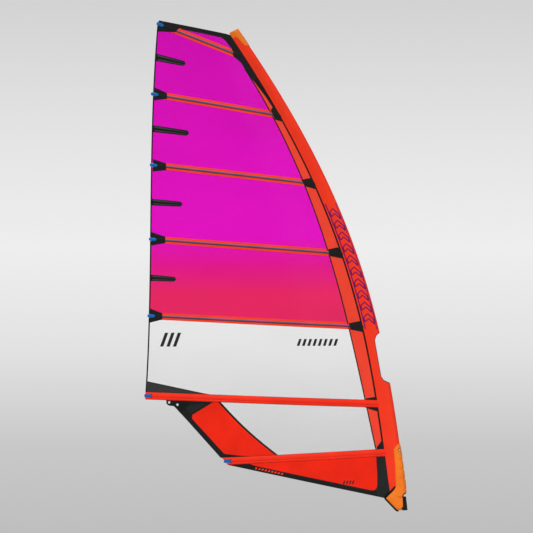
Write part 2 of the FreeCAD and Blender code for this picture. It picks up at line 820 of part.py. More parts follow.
def build():
    battens = [Batten(number) for number in range(1, 8)]
    nodes = {
        "luff_sleeve_port": sleeve_half(1),
        "luff_sleeve_starboard": sleeve_half(-1),
        "head_cap": head_cap(),
        "mast_tip_cup": tip_cup(),
        "head_band": head_band(),
        "head_reinforcement": head_reinforcement(),
        "film_panel_head": head_film(),
        "window_panel": window_panel(),
        "lower_window_panel": lower_window(),
        "leech_corner_patch": patch(corner_outline(), HEAVY_SHEET),
        "clew_patch": clew_patch(),
        "clew_eyelets": group([clew_eyelet(x, z) for x, z in EYELETS]),
        "foot_panel_upper": foot_panel_upper(),
        "foot_panel_lower": foot_panel_lower(),
        "foot_band": foot_band(),
        "tack_panel": tack_panel(),
        "leech_tape": leech_tape(),
        "seam_tapes": seam_tapes(),
        "luff_panels": luff_panels(),
        "minor_batten_pockets": group([minor_pocket(*row) for row in MINOR_BATTENS]),
        "minor_battens": group([minor_batten(*row) for row in MINOR_BATTENS]),
        "mast_pad": mast_pad(),
        "tack_fairing": tack_fairing(),
        "tack_strap": tack_strap(),
        "pulley_hanger": pulley_hanger(),
        "pulley_block": pulley_block(),
        "pulley_axle": pulley_axle(),
        "zip_slider": zip_slider(),
    }
    for gap in range(1, 5):
        nodes["film_panel_%d" % gap] = film_panel(gap)
    caps = []
    for batten in battens:
        pocket, cap = pocket_pieces(batten)
        nodes["batten_pocket_%d" % batten.number] = pocket
        nodes["batten_%d" % batten.number] = batten_rod(batten)
        nodes["tensioner_%d" % batten.number] = tensioner(batten)
        caps += [cap] if cap else []
    nodes["batten_end_caps"] = group(caps)
    for number in range(FIRST_CAMBER, 8):
        nodes["camber_%d" % number] = camber(battens[number - 1])
    for index in (1, 2, 3):
        nodes["sheave_%d" % index] = sheave(index)
    return nodes


def report(nodes):
    """Printed facts that the record repeats."""
    for name, shape in sorted(nodes.items()):
        box = shape.BoundBox
        print("%-24s %d solids, valid %s, volume %.1f cm3, y %.1f..%.1f" % (
            name, len(shape.Solids), shape.isValid(), shape.Volume / 1000, box.YMin, box.YMax))
    for number in range(1, 8):
        out = Batten(number).slide_axis()
        print("tensioner_%d axis %.5f %.5f %.5f" % (number, out.x, out.y, out.z))
    for number in range(FIRST_CAMBER, 8):
        batten = Batten(number)
        z = camber_height(batten)
        middle, up = mast_frame(z)
        pivot = middle - Vector(up.z, 0, -up.x) * CAMBER_PIVOT
        print("camber_%d z %.1f bore %.2f axis %s pivot %s middle %s" % (
            number, z, mast_radius(z) + MAST_PLAY, up, pivot, middle))
    top, up = mast_frame(TIP_CUP_TOP)
    print("tip cup top", top, "axis", up)


def main():
    os.makedirs("parts", exist_ok=True)
    nodes = build()
    for name, shape in nodes.items():
        shape.exportStep("parts/%s.step" % name)
    report(nodes)
    whole = Part.makeCompound(list(nodes.values())).BoundBox
    print("%d nodes, box %s" % (len(nodes), whole))


main()
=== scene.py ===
"""Looks of a windsurf sail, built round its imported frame.

Metres, +X towards the luff, +Z up the mast, +Y to port. Every soft panel lies on one
cambered body surface, and the edges and seam lines repeat those of the frame's source.
"""

import math

import bmesh
import bpy
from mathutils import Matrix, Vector, noise


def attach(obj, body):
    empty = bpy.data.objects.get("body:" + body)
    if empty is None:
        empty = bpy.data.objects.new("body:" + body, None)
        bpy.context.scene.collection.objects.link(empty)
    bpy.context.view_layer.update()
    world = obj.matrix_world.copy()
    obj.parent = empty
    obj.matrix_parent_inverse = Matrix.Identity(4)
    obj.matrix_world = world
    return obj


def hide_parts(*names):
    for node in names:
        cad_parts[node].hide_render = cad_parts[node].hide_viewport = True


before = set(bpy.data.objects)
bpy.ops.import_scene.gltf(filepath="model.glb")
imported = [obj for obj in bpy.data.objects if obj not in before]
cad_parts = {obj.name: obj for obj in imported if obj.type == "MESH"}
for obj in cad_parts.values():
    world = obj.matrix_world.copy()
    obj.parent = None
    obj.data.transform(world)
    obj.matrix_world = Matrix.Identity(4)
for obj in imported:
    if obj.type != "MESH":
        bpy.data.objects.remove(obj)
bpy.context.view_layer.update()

# Body surface
DRAFT_DEPTH = 0.080
RIPPLE = 0.0012
CELL = 0.05                 # mesh size of the large panels
FINE = 0.02                 # mesh size of patches
CLOSE = 0.006               # mesh size of the patches over the pockets' ends
CLOSEST = 0.004             # mesh size of the tack fairing

# Battens: aft x, aft z, fore x, fore z
BATTENS = [
    (-2.226, 4.369, -1.458, 4.068),
    (-2.277, 3.736, -1.134, 3.541),
    (-2.286, 3.097, -0.828, 2.928),
    (-2.295, 2.429, -0.576, 2.300),
    (-2.308, 1.739, -0.378, 1.643),
    (-2.336, 1.020, -0.248, 0.947),
    (-1.620, 0.432, -0.184, 0.508),
]
FLAT_HALF = 0.031           # half width of a flat pocket
TUBE_HALF = 0.033
FIRST_TUBE = 6
CHANNEL = 0.0135            # half width of the swelling over a flat batten
TIP_LENGTH = 0.067
TIP_OUT = 0.009
TIP_HALF = 0.015
CAP_LENGTH = 0.118
NOTCH_DEPTH = 0.0095        # how far past the middle a pocket's end is cut away over its tip

# Tapes and bands
LEECH_TAPE = 0.013
LUFF_TAPE = 0.011
SLEEVE_TAPE = 0.0155
HEAD_BAND = 0.042
FOOT_BAND = 0.044
LAP = 0.012                 # how far a panel runs under its neighbour
SKIN = 0.0007               # cloth thickness
PRINT = 0.0003              # thickness of printed marks
STITCH = 0.009              # length of one zigzag stitch, half its width, and half the thread
ZIGZAG = 0.0022
THREAD = 0.0003

# How far each cloth lies off the body surface; both() puts it on both faces
TACK_OUT = 0.0009
PATCH_OUT = 0.0010
BAND_OUT = 0.0012
MESH_OUT = 0.0014
FOOT_OUT = 0.0016
CLEW_OUT = 0.0020
HEAD_OUT = 0.0021
WEDGE_OUT = 0.0022
TIP_PATCH_OUT = 0.0030
CLEW_LAYER_OUT = 0.0031
CLEW_CORE_OUT = 0.0036
STRIP_START = 3.895         # where the luff panels taper out under the head

# Sleeve
NOTCH = (0.009, 0.114, 0.032)      # x, z and radius of the cut-away over the mast foot
CUTOUT = [(0.060, 1.597), (-0.231, 1.590), (-0.262, 1.562), (-0.275, 1.521),
          (-0.218, 1.197), (-0.196, 1.160), (-0.148, 1.136), (0.060, 1.126)]

# Straight seams: aft x, aft z, fore x, fore z
HEAD_LINE = (-2.205, 4.396, -1.602, 4.275)
CLEW_LINE = (-2.070, 0.921, -1.665, 0.470)
FOOT_LINE = (-1.485, 0.376, -0.184, 0.099)
BAND_START = -2.190
BAND_END = -1.625
DIAGONAL_HEAD = -1.693
DIAGONAL_FOOT = -1.153
DIAGONAL_WIDTH = 0.024
TACK_BACK = -0.255
EYELETS = [(-2.122, 0.960), (-2.047, 0.940)]
BORE = 0.012                # radius of the holes through the clew's cloth


# ---------------------------------------------------------------- edges and body surface

def clamp(value, low=0.0, high=1.0):
    return max(low, min(high, value))


def both(out):
    return -out, out


def luff_edge(z):
    return 0.030 - 0.139 * z + 0.021 * z ** 2 - 0.0264 * z ** 3 + 0.0023 * z ** 4


def sleeve_width(z):
    return 0.145 - 0.0039 * z ** 2 + 0.00038 * z ** 3


def sleeve_back(z):
    return luff_edge(z) - sleeve_width(z)


def sleeve_bulge(z):
    return 0.0445 - 0.0046 * z


def strip_back(z):
    return -0.131 - 0.250 * z + 0.0386 * z ** 2 - 0.0148 * z ** 3


def film_front(z):
    return strip_back(z) - LUFF_TAPE


def strip_front(z):
    """Fore edge of the luff panels; the seam beside it is wider above the second batten."""
    if z < 3.58:
        return sleeve_back(z) - SLEEVE_TAPE
    return sleeve_back(z) - 0.025 - 0.068 * (z - 3.58) - 0.09 * max(0.0, z - 3.70)


def leech_edge(z):
    return -2.452 + 0.164 * z - 0.0597 * z ** 2 + 0.00776 * z ** 3


def film_back(z):
    return leech_edge(z) + 0.5 * LEECH_TAPE


def body_front(z):
    return sleeve_back(z) + 0.006


def chord_share(x, z):
    return (sleeve_back(z) - x) / (sleeve_back(z) - leech_edge(z))


def draft(x, z):
    """Height of the body surface: belly to starboard, zero at the sleeve and the leech."""
    u = chord_share(x, z)
    level = math.sin(math.pi * clamp((z + 0.9) / 5.6))
    return -DRAFT_DEPTH * level * (math.sin(math.pi * u) + 0.18 * math.sin(2 * math.pi * u))


def surface(x, z):
    """The body surface with the faint ripple of film under tension."""
    swing = math.sin(math.pi * clamp(chord_share(x, z)))
    return draft(x, z) + RIPPLE * swing * noise.noise(Vector((2.4 * x, 0.0, 6.0 * z)))


def line(x0, z0, x1, z1, lift=0.0):
    """z along the line through two points, lifted square to it."""
    slope = (z1 - z0) / (x1 - x0)
    rise = lift * math.sqrt(1 + slope * slope)
    return lambda x: z0 + slope * (x - x0) + rise


def pocket_edge(number, side, lap=0.0):
    """Upper (side 1) or lower (side -1) edge of a batten pocket."""
    half = TUBE_HALF if number >= FIRST_TUBE else FLAT_HALF
    return line(*BATTENS[number - 1], lift=side * (half - lap))


# Seam lines as z(x): the pockets' edges, those lapped under the pockets, and the bands' edges
NUMBERS = range(1, len(BATTENS) + 1)
upper = {number: pocket_edge(number, 1) for number in NUMBERS}
lower = {number: pocket_edge(number, -1) for number in NUMBERS}
under_upper = {number: pocket_edge(number, 1, LAP) for number in NUMBERS}
under_lower = {number: pocket_edge(number, -1, LAP) for number in NUMBERS}
head_edge = line(*HEAD_LINE)
head_inner = line(*HEAD_LINE, lift=-HEAD_BAND)
clew_edge = line(*CLEW_LINE)
clew_inner = line(*CLEW_LINE, lift=FOOT_BAND)
foot_edge = line(*FOOT_LINE)
foot_inner = line(*FOOT_LINE, lift=FOOT_BAND)


def meet(seam, edge):
    """Where a seam line z(x) crosses an edge x(z)."""
    x = edge(2.0)
    for _ in range(20):
        x = edge(seam(x))
    return x, seam(x)


def cross(first, second):
    """Where two straight seam lines cross."""
    near = first(0) - second(0)
    far = first(1) - second(1)
    x = near / (near - far)
    return x, first(x)


def on(seam, x):
    return x, seam(x)


def between(stations, place):
    """Value at a place, straight between (place, value) stations."""
    for (a, low), (b, high) in zip(stations, stations[1:]):
        if place <= b:
            return low + (high - low) * clamp((place - a) / (b - a))
    return stations[-1][1]


def level(z):
    return lambda x: z


def run(edge, start, end, step=0.06):
    """Points along an edge between two heights."""
    count = max(2, int(abs(end - start) / step))
    return [(edge(start + (end - start) * k / count), start + (end - start) * k / count)
            for k in range(count + 1)]


def cell(upper_seam, lower_seam, aft, fore):
    """Outline between two seam lines and two curved edges."""
    low_aft, low_fore = meet(lower_seam, aft), meet(lower_seam, fore)
    high_fore, high_aft = meet(upper_seam, fore), meet(upper_seam, aft)
    return run(fore, low_fore[1], high_fore[1]) + run(aft, high_aft[1], low_aft[1])


def gap_cell(gap, aft, fore):
    """Outline between battens gap and gap + 1, lapped under both pockets."""
    return cell(under_lower[gap], under_upper[gap + 1], aft, fore)


def rounded(corners, steps=6):
    """Outline from (x, z, radius) corners, with a curve at each corner that has a radius."""
    points = []
    for k, (x, z, radius) in enumerate(corners):
        here = Vector((x, z))
        if not radius:
            points.append(here)
            continue
        before = Vector(corners[k - 1][:2]) - here
        after = Vector(corners[(k + 1) % len(corners)][:2]) - here
        reach = radius / math.tan(before.angle(after) / 2)
        reach = min(reach, 0.45 * before.length, 0.45 * after.length)
        start = here + before.normalized() * reach
        end = here + after.normalized() * reach
        for j in range(steps + 1):
            t = j / steps
            points.append((1 - t) ** 2 * start + 2 * t * (1 - t) * here + t * t * end)
    return [(p.x, p.y) for p in points]


# ---------------------------------------------------------------- materials

def screen(red, green, blue):
    """Linear colour of a screen colour given out of 255."""
    parts = []
    for part in (red, green, blue):
        value = part / 255
        parts.append(value / 12.92 if value < 0.04045 else ((value + 0.055) / 1.055) ** 2.4)
    return (*parts, 1.0)


def shaded(colour, factor):
    return (*[clamp(c * factor) for c in colour[:3]], 1.0)


class Nodes:
    """Short form for building a node tree."""

    def __init__(self, tree):
        self.tree = tree

    def add(self, kind, inputs=None, **settings):
        node = self.tree.nodes.new(kind)
        for key, value in settings.items():
            setattr(node, key, value)
        for key, value in (inputs or {}).items():
            self.put(node, key, value)
        return node

    def put(self, node, key, value):
        if isinstance(value, bpy.types.NodeSocket):
            self.tree.links.new(value, node.inputs[key])
        else:
            node.inputs[key].default_value = value

    def ramp(self, factor, *stops):
        """Colour ramp; a stop is (place, colour), or (place, number) for a grey."""
        node = self.add("ShaderNodeValToRGB", {"Fac": factor})
        elements = node.color_ramp.elements
        while len(elements) < len(stops):
            elements.new(0.5)
        for element, (place, colour) in zip(elements, stops):
            element.position = place
            element.color = colour if isinstance(colour, tuple) else (colour, colour, colour, 1)
        return node.outputs["Color"]


class Finish(Nodes):
    """One material and its nodes."""

    def __init__(self, name):
        self.material = bpy.data.materials.new(name)
        self.material.use_nodes = True
        super().__init__(self.material.node_tree)
        self.shader = self.tree.nodes["Principled BSDF"]
        self.place = self.add("ShaderNodeTexCoord").outputs["Object"]

    def shade(self, **values):
        for key, value in values.items():
            self.put(self.shader, key.replace("_", " "), value)

    def noise(self, scale, detail=3.0, stretch=(1, 1, 1)):
        where = self.add("ShaderNodeMapping", {"Vector": self.place, "Scale": stretch})
        made = self.add("ShaderNodeTexNoise", {"Vector": where.outputs[0], "Scale": scale, "Detail": detail})
        return made.outputs["Fac"]

    def wave(self, period, direction):
        made = self.add("ShaderNodeTexWave", {"Vector": self.place, "Scale": math.pi / (10 * period)},
                        bands_direction=direction)
        return made.outputs["Fac"]

    def threads(self, first, first_way, second, second_way):
        """Two crossed sets of yarns."""
        return self.math("MAXIMUM", self.wave(first, first_way), self.wave(second, second_way))

    def math(self, operation, first, second):
        return self.add("ShaderNodeMath", {0: first, 1: second}, operation=operation).outputs[0]

    def blend(self, factor, first, second, mode="MIX"):
        node = self.add("ShaderNodeMix", {0: factor, 6: first, 7: second}, data_type="RGBA", blend_type=mode)
        return node.outputs[2]

    def bump(self, height, distance, strength=1.0):
        node = self.add("ShaderNodeBump", {"Height": height, "Distance": distance, "Strength": strength})
        self.put(self.shader, "Normal", node.outputs["Normal"])
        return self.material


def cloth(name, colour, thread=0.0011, rough=0.75, specular=0.2, cloud=0.10, crease=0.0006):
    """Woven polyester: crossed threads, cloudy dye and small creases."""
    finish = Finish(name)
    weave = finish.threads(thread, "X", thread, "Z")
    dye = finish.noise(5.0, 4.0)
    tone = finish.ramp(dye, (0.30, shaded(colour, 1 - cloud)), (0.70, shaded(colour, 1 + cloud)))
    worn = finish.ramp(weave, (0.0, 0.86), (0.6, 1.0))
    finish.shade(Base_Color=finish.blend(1.0, tone, worn, "MULTIPLY"), Specular_IOR_Level=specular,
                 Roughness=finish.ramp(dye, (0.2, rough - 0.08), (0.8, rough + 0.08)))
    creases = finish.math("MULTIPLY", finish.noise(22.0, 4.0, (1, 1, 0.45)), crease / 0.0002)
    return finish.bump(finish.math("ADD", finish.math("MULTIPLY", weave, 0.5), creases), 0.0002)


def film(name, stops, rough=0.10, haze=0.03):
    """Clear or tinted polyester film; stops give its tint by height."""
    finish = Finish(name)
    height = finish.add("ShaderNodeSeparateXYZ", {"Vector": finish.place}).outputs["Z"]
    spread = finish.add("ShaderNodeMapRange", {"Value": height, "From Min": 0.0, "From Max": 4.5}).outputs[0]
    cloudy = finish.ramp(finish.noise(1.5, 3.0, (0.6, 1, 1.6)), (0.35, 1 - haze), (0.65, 1.0))
    finish.shade(Base_Color=finish.blend(1.0, finish.ramp(spread, *stops), cloudy, "MULTIPLY"), IOR=1.2,
                 Transmission_Weight=0.96, Specular_IOR_Level=0.12,
                 Roughness=finish.ramp(finish.noise(40.0, 2.0), (0.3, rough), (0.8, rough + 0.06)))
    return finish.bump(finish.noise(9.0, 3.0, (1, 1, 2)), 0.0005, 0.4)


def scrim(name, colour, thread, pitch=0.0065):
    """Laminate of film over a grid of crossed yarns laid on the bias."""
    finish = Finish(name)
    turned = finish.add("ShaderNodeMapping", {"Vector": finish.place, "Rotation": (0, 0.6, 0)})
    finish.place = turned.outputs[0]
    lines = finish.ramp(finish.threads(pitch, "X", pitch, "Z"), (0.86, 0.0), (0.97, 1.0))
    cloudy = finish.ramp(finish.noise(6.0, 3.0), (0.3, shaded(colour, 0.90)), (0.7, shaded(colour, 1.08)))
    finish.shade(Base_Color=finish.blend(lines, cloudy, thread), Roughness=0.38, Specular_IOR_Level=0.3)
    return finish.bump(lines, 0.00025, 0.8)


def mesh_cloth(name, ground, thread):
    """Open knitted mesh: light yarn round small dark cells."""
    finish = Finish(name)
    turned = finish.add("ShaderNodeMapping", {"Vector": finish.place, "Rotation": (0, math.pi / 4, 0),
                                              "Scale": (1, 0, 1)}).outputs[0]
    cells = finish.add("ShaderNodeTexVoronoi", {"Vector": turned, "Scale": 95.0, "Randomness": 0.0},
                       feature="DISTANCE_TO_EDGE").outputs["Distance"]
    yarn = finish.ramp(cells, (0.05, 1.0), (0.22, 0.0))
    finish.shade(Base_Color=finish.blend(yarn, ground, thread), Roughness=0.8, Specular_IOR_Level=0.15)
    return finish.bump(yarn, 0.0006)


def plastic(name, colour, rough=0.35, specular=0.45):
    """Moulded plastic with a fine spark-eroded grain and slightly dulled patches."""
    finish = Finish(name)
    wear = finish.noise(60.0, 4.0)
    finish.shade(Base_Color=finish.ramp(wear, (0.35, shaded(colour, 0.88)), (0.75, shaded(colour, 1.12))),
                 Roughness=finish.ramp(wear, (0.3, rough), (0.7, rough + 0.18)), Specular_IOR_Level=specular)
    return finish.bump(finish.noise(1800.0, 2.0), 0.00008)


def metal(name, colour, rough=0.25):
    """Turned stainless steel with fine scratches."""
    finish = Finish(name)
    scratch = finish.noise(400.0, 5.0, (1, 6, 1))
    finish.shade(Base_Color=finish.ramp(scratch, (0.3, shaded(colour, 0.85)), (0.7, colour)), Metallic=1.0,
                 Roughness=finish.ramp(scratch, (0.3, rough), (0.8, rough + 0.2)))
    return finish.bump(scratch, 0.00004)


def webbing(name, colour):
    """Ribbed polyester webbing."""
    finish = Finish(name)
    ribs = finish.threads(0.0022, "Z", 0.0011, "Y")
    finish.shade(Base_Color=finish.ramp(ribs, (0.1, shaded(colour, 0.6)), (0.8, shaded(colour, 1.3))),
                 Roughness=0.85, Specular_IOR_Level=0.2)
    return finish.bump(ribs, 0.0004)


MAGENTA = (0.90, 0.0015, 0.63, 1.0)
ROSE = (0.91, 0.006, 0.31, 1.0)
RED_ROSE = (0.97, 0.022, 0.15, 1.0)
LOOK = {
    "sleeve": cloth("sleeve_cloth", screen(255, 58, 30), specular=0.15, crease=0.0012),
    "cap": cloth("cap_cloth", screen(242, 124, 36), thread=0.0016, crease=0.001),
    "pad": cloth("pad_cloth", screen(250, 126, 30), thread=0.0018, crease=0.001),
    "black": cloth("black_cloth", (0.0085, 0.0095, 0.009, 1), rough=0.7, specular=0.12, cloud=0.25),
    "edge": cloth("black_tape", (0.006, 0.0065, 0.0062, 1), thread=0.0009, rough=0.65, specular=0.1),
    "grey": cloth("grey_cloth", (0.014, 0.0155, 0.0155, 1), rough=0.6, specular=0.12, cloud=0.2),
    "mesh": mesh_cloth("mesh_patch", (0.008, 0.009, 0.0085, 1), (0.065, 0.07, 0.068, 1)),
    "magenta": film("magenta_film", [(0.385, RED_ROSE), (0.43, RED_ROSE), (0.485, ROSE), (0.545, MAGENTA)],
                    haze=0.06),
    "clear": film("clear_film", [(0.0, 1.0), (1.0, 1.0)], rough=0.06),
    "strip": scrim("luff_laminate", screen(238, 54, 28), screen(248, 74, 44)),
    "foot": cloth("foot_cloth", screen(240, 36, 10), thread=0.0014, rough=0.55, specular=0.12,
                  crease=0.0004),
    "tape": cloth("pocket_tape", screen(255, 58, 24), thread=0.001, rough=0.6),
    "tube": cloth("tube_pocket", screen(246, 47, 22), thread=0.001, rough=0.55, specular=0.12, crease=0.0010),
    "channel": cloth("pocket_channel", screen(85, 88, 95), rough=0.45, cloud=0.15),
    # the channel's upper band is a lighter copy of the channel, a painted highlight; its lower band is a
    # darker copy, painted shade
    "channel_painted_highlight": cloth("pocket_channel_top", screen(150, 90, 150), rough=0.45, cloud=0.15),
    "channel_painted_shade": cloth("pocket_channel_foot", screen(60, 25, 75), rough=0.45, cloud=0.15),
    "rod": plastic("batten_rod", (0.02, 0.02, 0.022, 1)),
    "blue": plastic("blue_plastic", screen(0, 98, 178), specular=0.25),
    "plastic": plastic("moulded_plastic", (0.02, 0.021, 0.023, 1), rough=0.45),
    "steel": metal("stainless_steel", (0.75, 0.76, 0.78, 1)),
    "dark_steel": metal("blackened_steel", (0.10, 0.10, 0.11, 1), 0.4),
    "webbing": webbing("black_webbing", (0.008, 0.008, 0.009, 1)),
    "purple": cloth("purple_print", screen(118, 8, 92), thread=0.0011, rough=0.6),
    "print": cloth("dark_print", (0.012, 0.012, 0.013, 1), rough=0.5),
    "thread": cloth("sewing_thread", (0.06, 0.06, 0.062, 1), thread=0.0004, rough=0.7, specular=0.1),
    "orange_thread": cloth("orange_thread", screen(240, 96, 20), thread=0.0004, rough=0.6),
}
SHARP = math.radians(42)


# ---------------------------------------------------------------- mesh building

def piece(name, mesh, look, body="sail", replaces=()):
    """Makes an object of a bmesh, with its finish, its body and the frame nodes it stands for."""
    data = bpy.data.meshes.new(name)
    bmesh.ops.recalc_face_normals(mesh, faces=mesh.faces[:])
    mesh.to_mesh(data)
    mesh.free()
    looks = [look] if isinstance(look, str) else look
    for key in looks:
        data.materials.append(LOOK[key])
    data.shade_smooth()
    data.set_sharp_from_angle(angle=SHARP)
    made = bpy.data.objects.new(name, data)
    bpy.context.scene.collection.objects.link(made)
    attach(made, body)
    if replaces:
        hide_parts(*replaces)
    return made


def settle(made):
    """Applies an object's modifiers and marks its edges sharp again."""
    shaped = made.evaluated_get(bpy.context.evaluated_depsgraph_get())
    applied = bpy.data.meshes.new_from_object(shaped)
    made.modifiers.clear()
    made.data = applied
    applied.set_sharp_from_angle(angle=SHARP)
    return made


def thicken(made, thickness):
    """Gives an open sheet its thickness, half to each side."""
    solid = made.modifiers.new("thickness", "SOLIDIFY")
    solid.thickness = thickness
    solid.offset = 0.0
    return settle(made)


def fill(mesh, outline, step, place):
    """Fills an outline with square cells, and carries each point to its place in space."""
    part = bmesh.new()
    part.faces.new([part.verts.new((x, 0, z)) for x, z in outline])
    for axis, part_of in ((Vector((1, 0, 0)), 0), (Vector((0, 0, 1)), 1)):
        spread = [p[part_of] for p in outline]
        low, high = min(spread), max(spread)
        count = int((high - low) / step)
        for k in range(1, count + 1):
            cut = axis * (low + (high - low) * k / (count + 1))
            geometry = part.verts[:] + part.edges[:] + part.faces[:]
            bmesh.ops.bisect_plane(part, geom=geometry, dist=0.0004, plane_co=cut, plane_no=axis)
    copies = {v: mesh.verts.new(place(v.co.x, v.co.z)) for v in part.verts}
    for face in part.faces:
        mesh.faces.new([copies[v] for v in face.verts])
    part.free()


def area_of(outline):
    return abs(sum(a[0] * b[1] - b[0] * a[1] for a, b in zip(outline, outline[1:] + outline[:1]))) / 2


def blank(outlines, sides):
    """The rectangle of cloth that the outlines are cut from, and their area."""
    widths, lengths = [], []
    for outline in outlines:
        points = [Vector(p) for p in outline]
        far = max(((b - a) for a in points for b in points[::2]), key=lambda d: d.length)
        along = far.normalized()
        across = Vector((-along.y, along.x))
        reach = [p.dot(across) for p in points]
        widths.append(max(reach) - min(reach))
        lengths.append(far.length)
    area = sides * sum(area_of(outline) for outline in outlines)
    length = max(lengths)
    width = sides * sum(w * r / length for w, r in zip(widths, lengths))
    return (width, length), min(area, width * length)


def sheet(name, outlines, look, replaces=(), step=FINE, lifts=(0.0,),
          thickness=SKIN, height=None):
    """Cloth or film cut to outlines on the body surface. lifts has one entry for each layer."""
    mesh = bmesh.new()
    for lift in lifts:
        side = 1 if lift > 0 else -1
        for outline in outlines:
            fill(mesh, outline, step,
                 lambda x, z: (x, surface(x, z) + lift + (side * height(x, z) if height else 0), z))
    made = thicken(piece(name, mesh, look, replaces=replaces), thickness)
    flat, area = blank(outlines, len(lifts))
    return made


def join_rings(mesh, rings, closed=True, ends=True, faces=None):
    """Skins rows of points; a closed row is a ring, and the end rings are filled."""
    rows = [[mesh.verts.new(p) for p in ring] for ring in rings]
    for low, high in zip(rows, rows[1:]):
        for k in range(len(low) if closed else len(low) - 1):
            j = (k + 1) % len(low)
            face = mesh.faces.new((low[k], low[j], high[j], high[k]))
            face.material_index = faces(k) if faces else 0
    if closed and ends:
        mesh.faces.new(rows[0][::-1])
        mesh.faces.new(rows[-1])


def skin(name, rings, look, replaces=(), closed=True, ends=True, faces=None):
    """A piece made of rows of points."""
    mesh = bmesh.new()
    join_rings(mesh, rings, closed, ends, faces)
    return piece(name, mesh, look, replaces=replaces)


def grid(rows, columns, place):
    """Rows of points, each placed by its shares of the way across and of the way up."""
    return [[place(k / columns, j / rows) for k in range(columns + 1)] for j in range(rows + 1)]


def strip_rings(path, profile, base=surface):
    """Rings of a profile (across, out) carried along a path of (x, z) points."""
    rings = []
    for k, here in enumerate(path):
        before, after = path[max(k - 1, 0)], path[min(k + 1, len(path) - 1)]
        along = (Vector(after) - Vector(before)).normalized()
        side = Vector((-along.y, along.x))
        ring = []
        for across, out in profile:
            x, z = Vector(here) + side * across
            ring.append(Vector((x, base(x, z) + out, z)))
        rings.append(ring)
    return rings


def tape_profile(width, half):
    """Section of a folded tape: flat, with soft edges."""
    w = width / 2
    e = min(0.0012, w / 3)
    return [(-w, 0), (-w + e, -half), (0, -half * 1.08), (w - e, -half),
            (w, 0), (w - e, half), (0, half * 1.08), (-w + e, half)]


def length_of(path):
    return sum((Vector(b) - Vector(a)).length for a, b in zip(path, path[1:]))


def ribbon(made, profile, length):
    """Turns a long tape's section into points, and does nothing more with them; half the way round the
    section is the tape's width.
    """
    ring = [Vector(p) for p in profile]


def tape(name, paths, width, half, look, replaces=()):
    """Tape folded over an edge or sewn along a seam."""
    mesh = bmesh.new()
    for path in paths:
        join_rings(mesh, strip_rings(path, tape_profile(width, half)))
    made = piece(name, mesh, look, replaces=replaces)
    ribbon(made, tape_profile(width, half), sum(length_of(p) for p in paths))
    return made


def stitches(name, rows, look, out):
    """Zigzag sewing thread along rows of (x, z) points, on both faces of the cloth."""
    mesh = bmesh.new()
    for row in rows:
        points = evenly(row, max(2, int(length_of(row) / STITCH)))
        wave = [point + across * (ZIGZAG if k % 2 else -ZIGZAG) for k, (point, across) in enumerate(points)]
        for side in (-1, 1):
            rings = []
            for p in wave:
                y = surface(p.x, p.y) + side * out
                rings.append([Vector((p.x, y + side * THREAD, p.y)), Vector((p.x, y, p.y + 2 * THREAD)),
                              Vector((p.x, y - side * THREAD, p.y)), Vector((p.x, y, p.y - 2 * THREAD))])
            join_rings(mesh, rings)
    piece(name, mesh, look)


def binding(name, path, profile, half_depth, length):
    """Black edging along one path on both sides of the sleeve or the fairing."""
    mesh = bmesh.new()
    for side in (-1, 1):
        join_rings(mesh, strip_rings(path, profile, lambda x, z: side * half_depth(x, z)))
    ribbon(piece(name, mesh, "edge"), profile, 2 * length)


def evenly(row, count):
    """Points spaced evenly along a row, each with the direction square to it."""
    points = [Vector(p) for p in row]
    spans = [(b - a).length for a, b in zip(points, points[1:])]
    total = sum(spans)
    made = []
    for k in range(count + 1):
        left = total * k / count
        j = 0
        while j < len(spans) - 1 and left > spans[j]:
            left -= spans[j]
            j += 1
        along = (points[j + 1] - points[j]).normalized()
        made.append((points[j] + along * left, Vector((-along.y, along.x))))
    return made


def lathe(mesh, profile, centre, axis, sides=40):
    """Turns a closed profile of (radius, along) points about an axis."""
    axis = Vector(axis).normalized()
    first = axis.orthogonal().normalized()
    second = axis.cross(first)
    rings = []
    for k in range(sides):
        turn = 2 * math.pi * k / sides
        out = first * math.cos(turn) + second * math.sin(turn)
        rings.append([Vector(centre) + out * r + axis * a for r, a in profile])
    rows = [[mesh.verts.new(p) for p in ring] for ring in rings]
    for k, low in enumerate(rows):
        high = rows[(k + 1) % sides]
        for j in range(len(profile)):
            i = (j + 1) % len(profile)
            mesh.faces.new((low[j], low[i], high[i], high[j]))


# ---------------------------------------------------------------- film and cloth panels

def film_panels():
    """The tinted panels between the battens, and the two clear windows below them."""
    under_band = line(*HEAD_LINE, lift=LAP - HEAD_BAND)
    corner = meet(under_upper[1], film_front)
    head = [cross(under_upper[1], under_band), (corner[0] + 0.010, corner[1]), (-1.540, 4.150),
            (-1.600, 4.225), on(under_band, BAND_END - 0.025)]
    sheet("film_head", [head], "magenta", ["film_panel_head"], step=CELL)
    under_seam = lambda z: film_front(z) + 0.008 + 0.02 * clamp((z - 3.85) / 0.2)
    for gap in range(1, 5):
        sheet("film_%d" % gap, [gap_cell(gap, film_back, under_seam)], "magenta", ["film_panel_%d" % gap],
              step=CELL)
    sheet("window", [gap_cell(5, film_back, under_seam)], "clear", ["window_panel"], step=CELL)
    low = meet(under_upper[7], under_seam)
    high = meet(under_lower[6], under_seam)
    pane = run(under_seam, low[1], high[1]) + diagonal(0.014)
    sheet("lower_window", [pane], "clear", ["lower_window_panel"], step=CELL)


def luff_strips():
    """Laminate panels between the luff seam and the sleeve seam."""
    back = lambda z: strip_back(z) - 0.004
    front = lambda z: strip_front(z) + 0.004
    outlines = [cell(level(STRIP_START), under_upper[2], back, front)]
    outlines += [gap_cell(gap, back, front) for gap in range(2, 6)]
    low = [(-0.254, 0.551), (-0.212, 0.606)]
    high = meet(under_lower[6], back)
    outlines.append(low + run(front, 0.606, high[1]) + run(back, high[1], 0.551))
    sheet("luff_laminate_strips", outlines, "strip", ["luff_panels"])


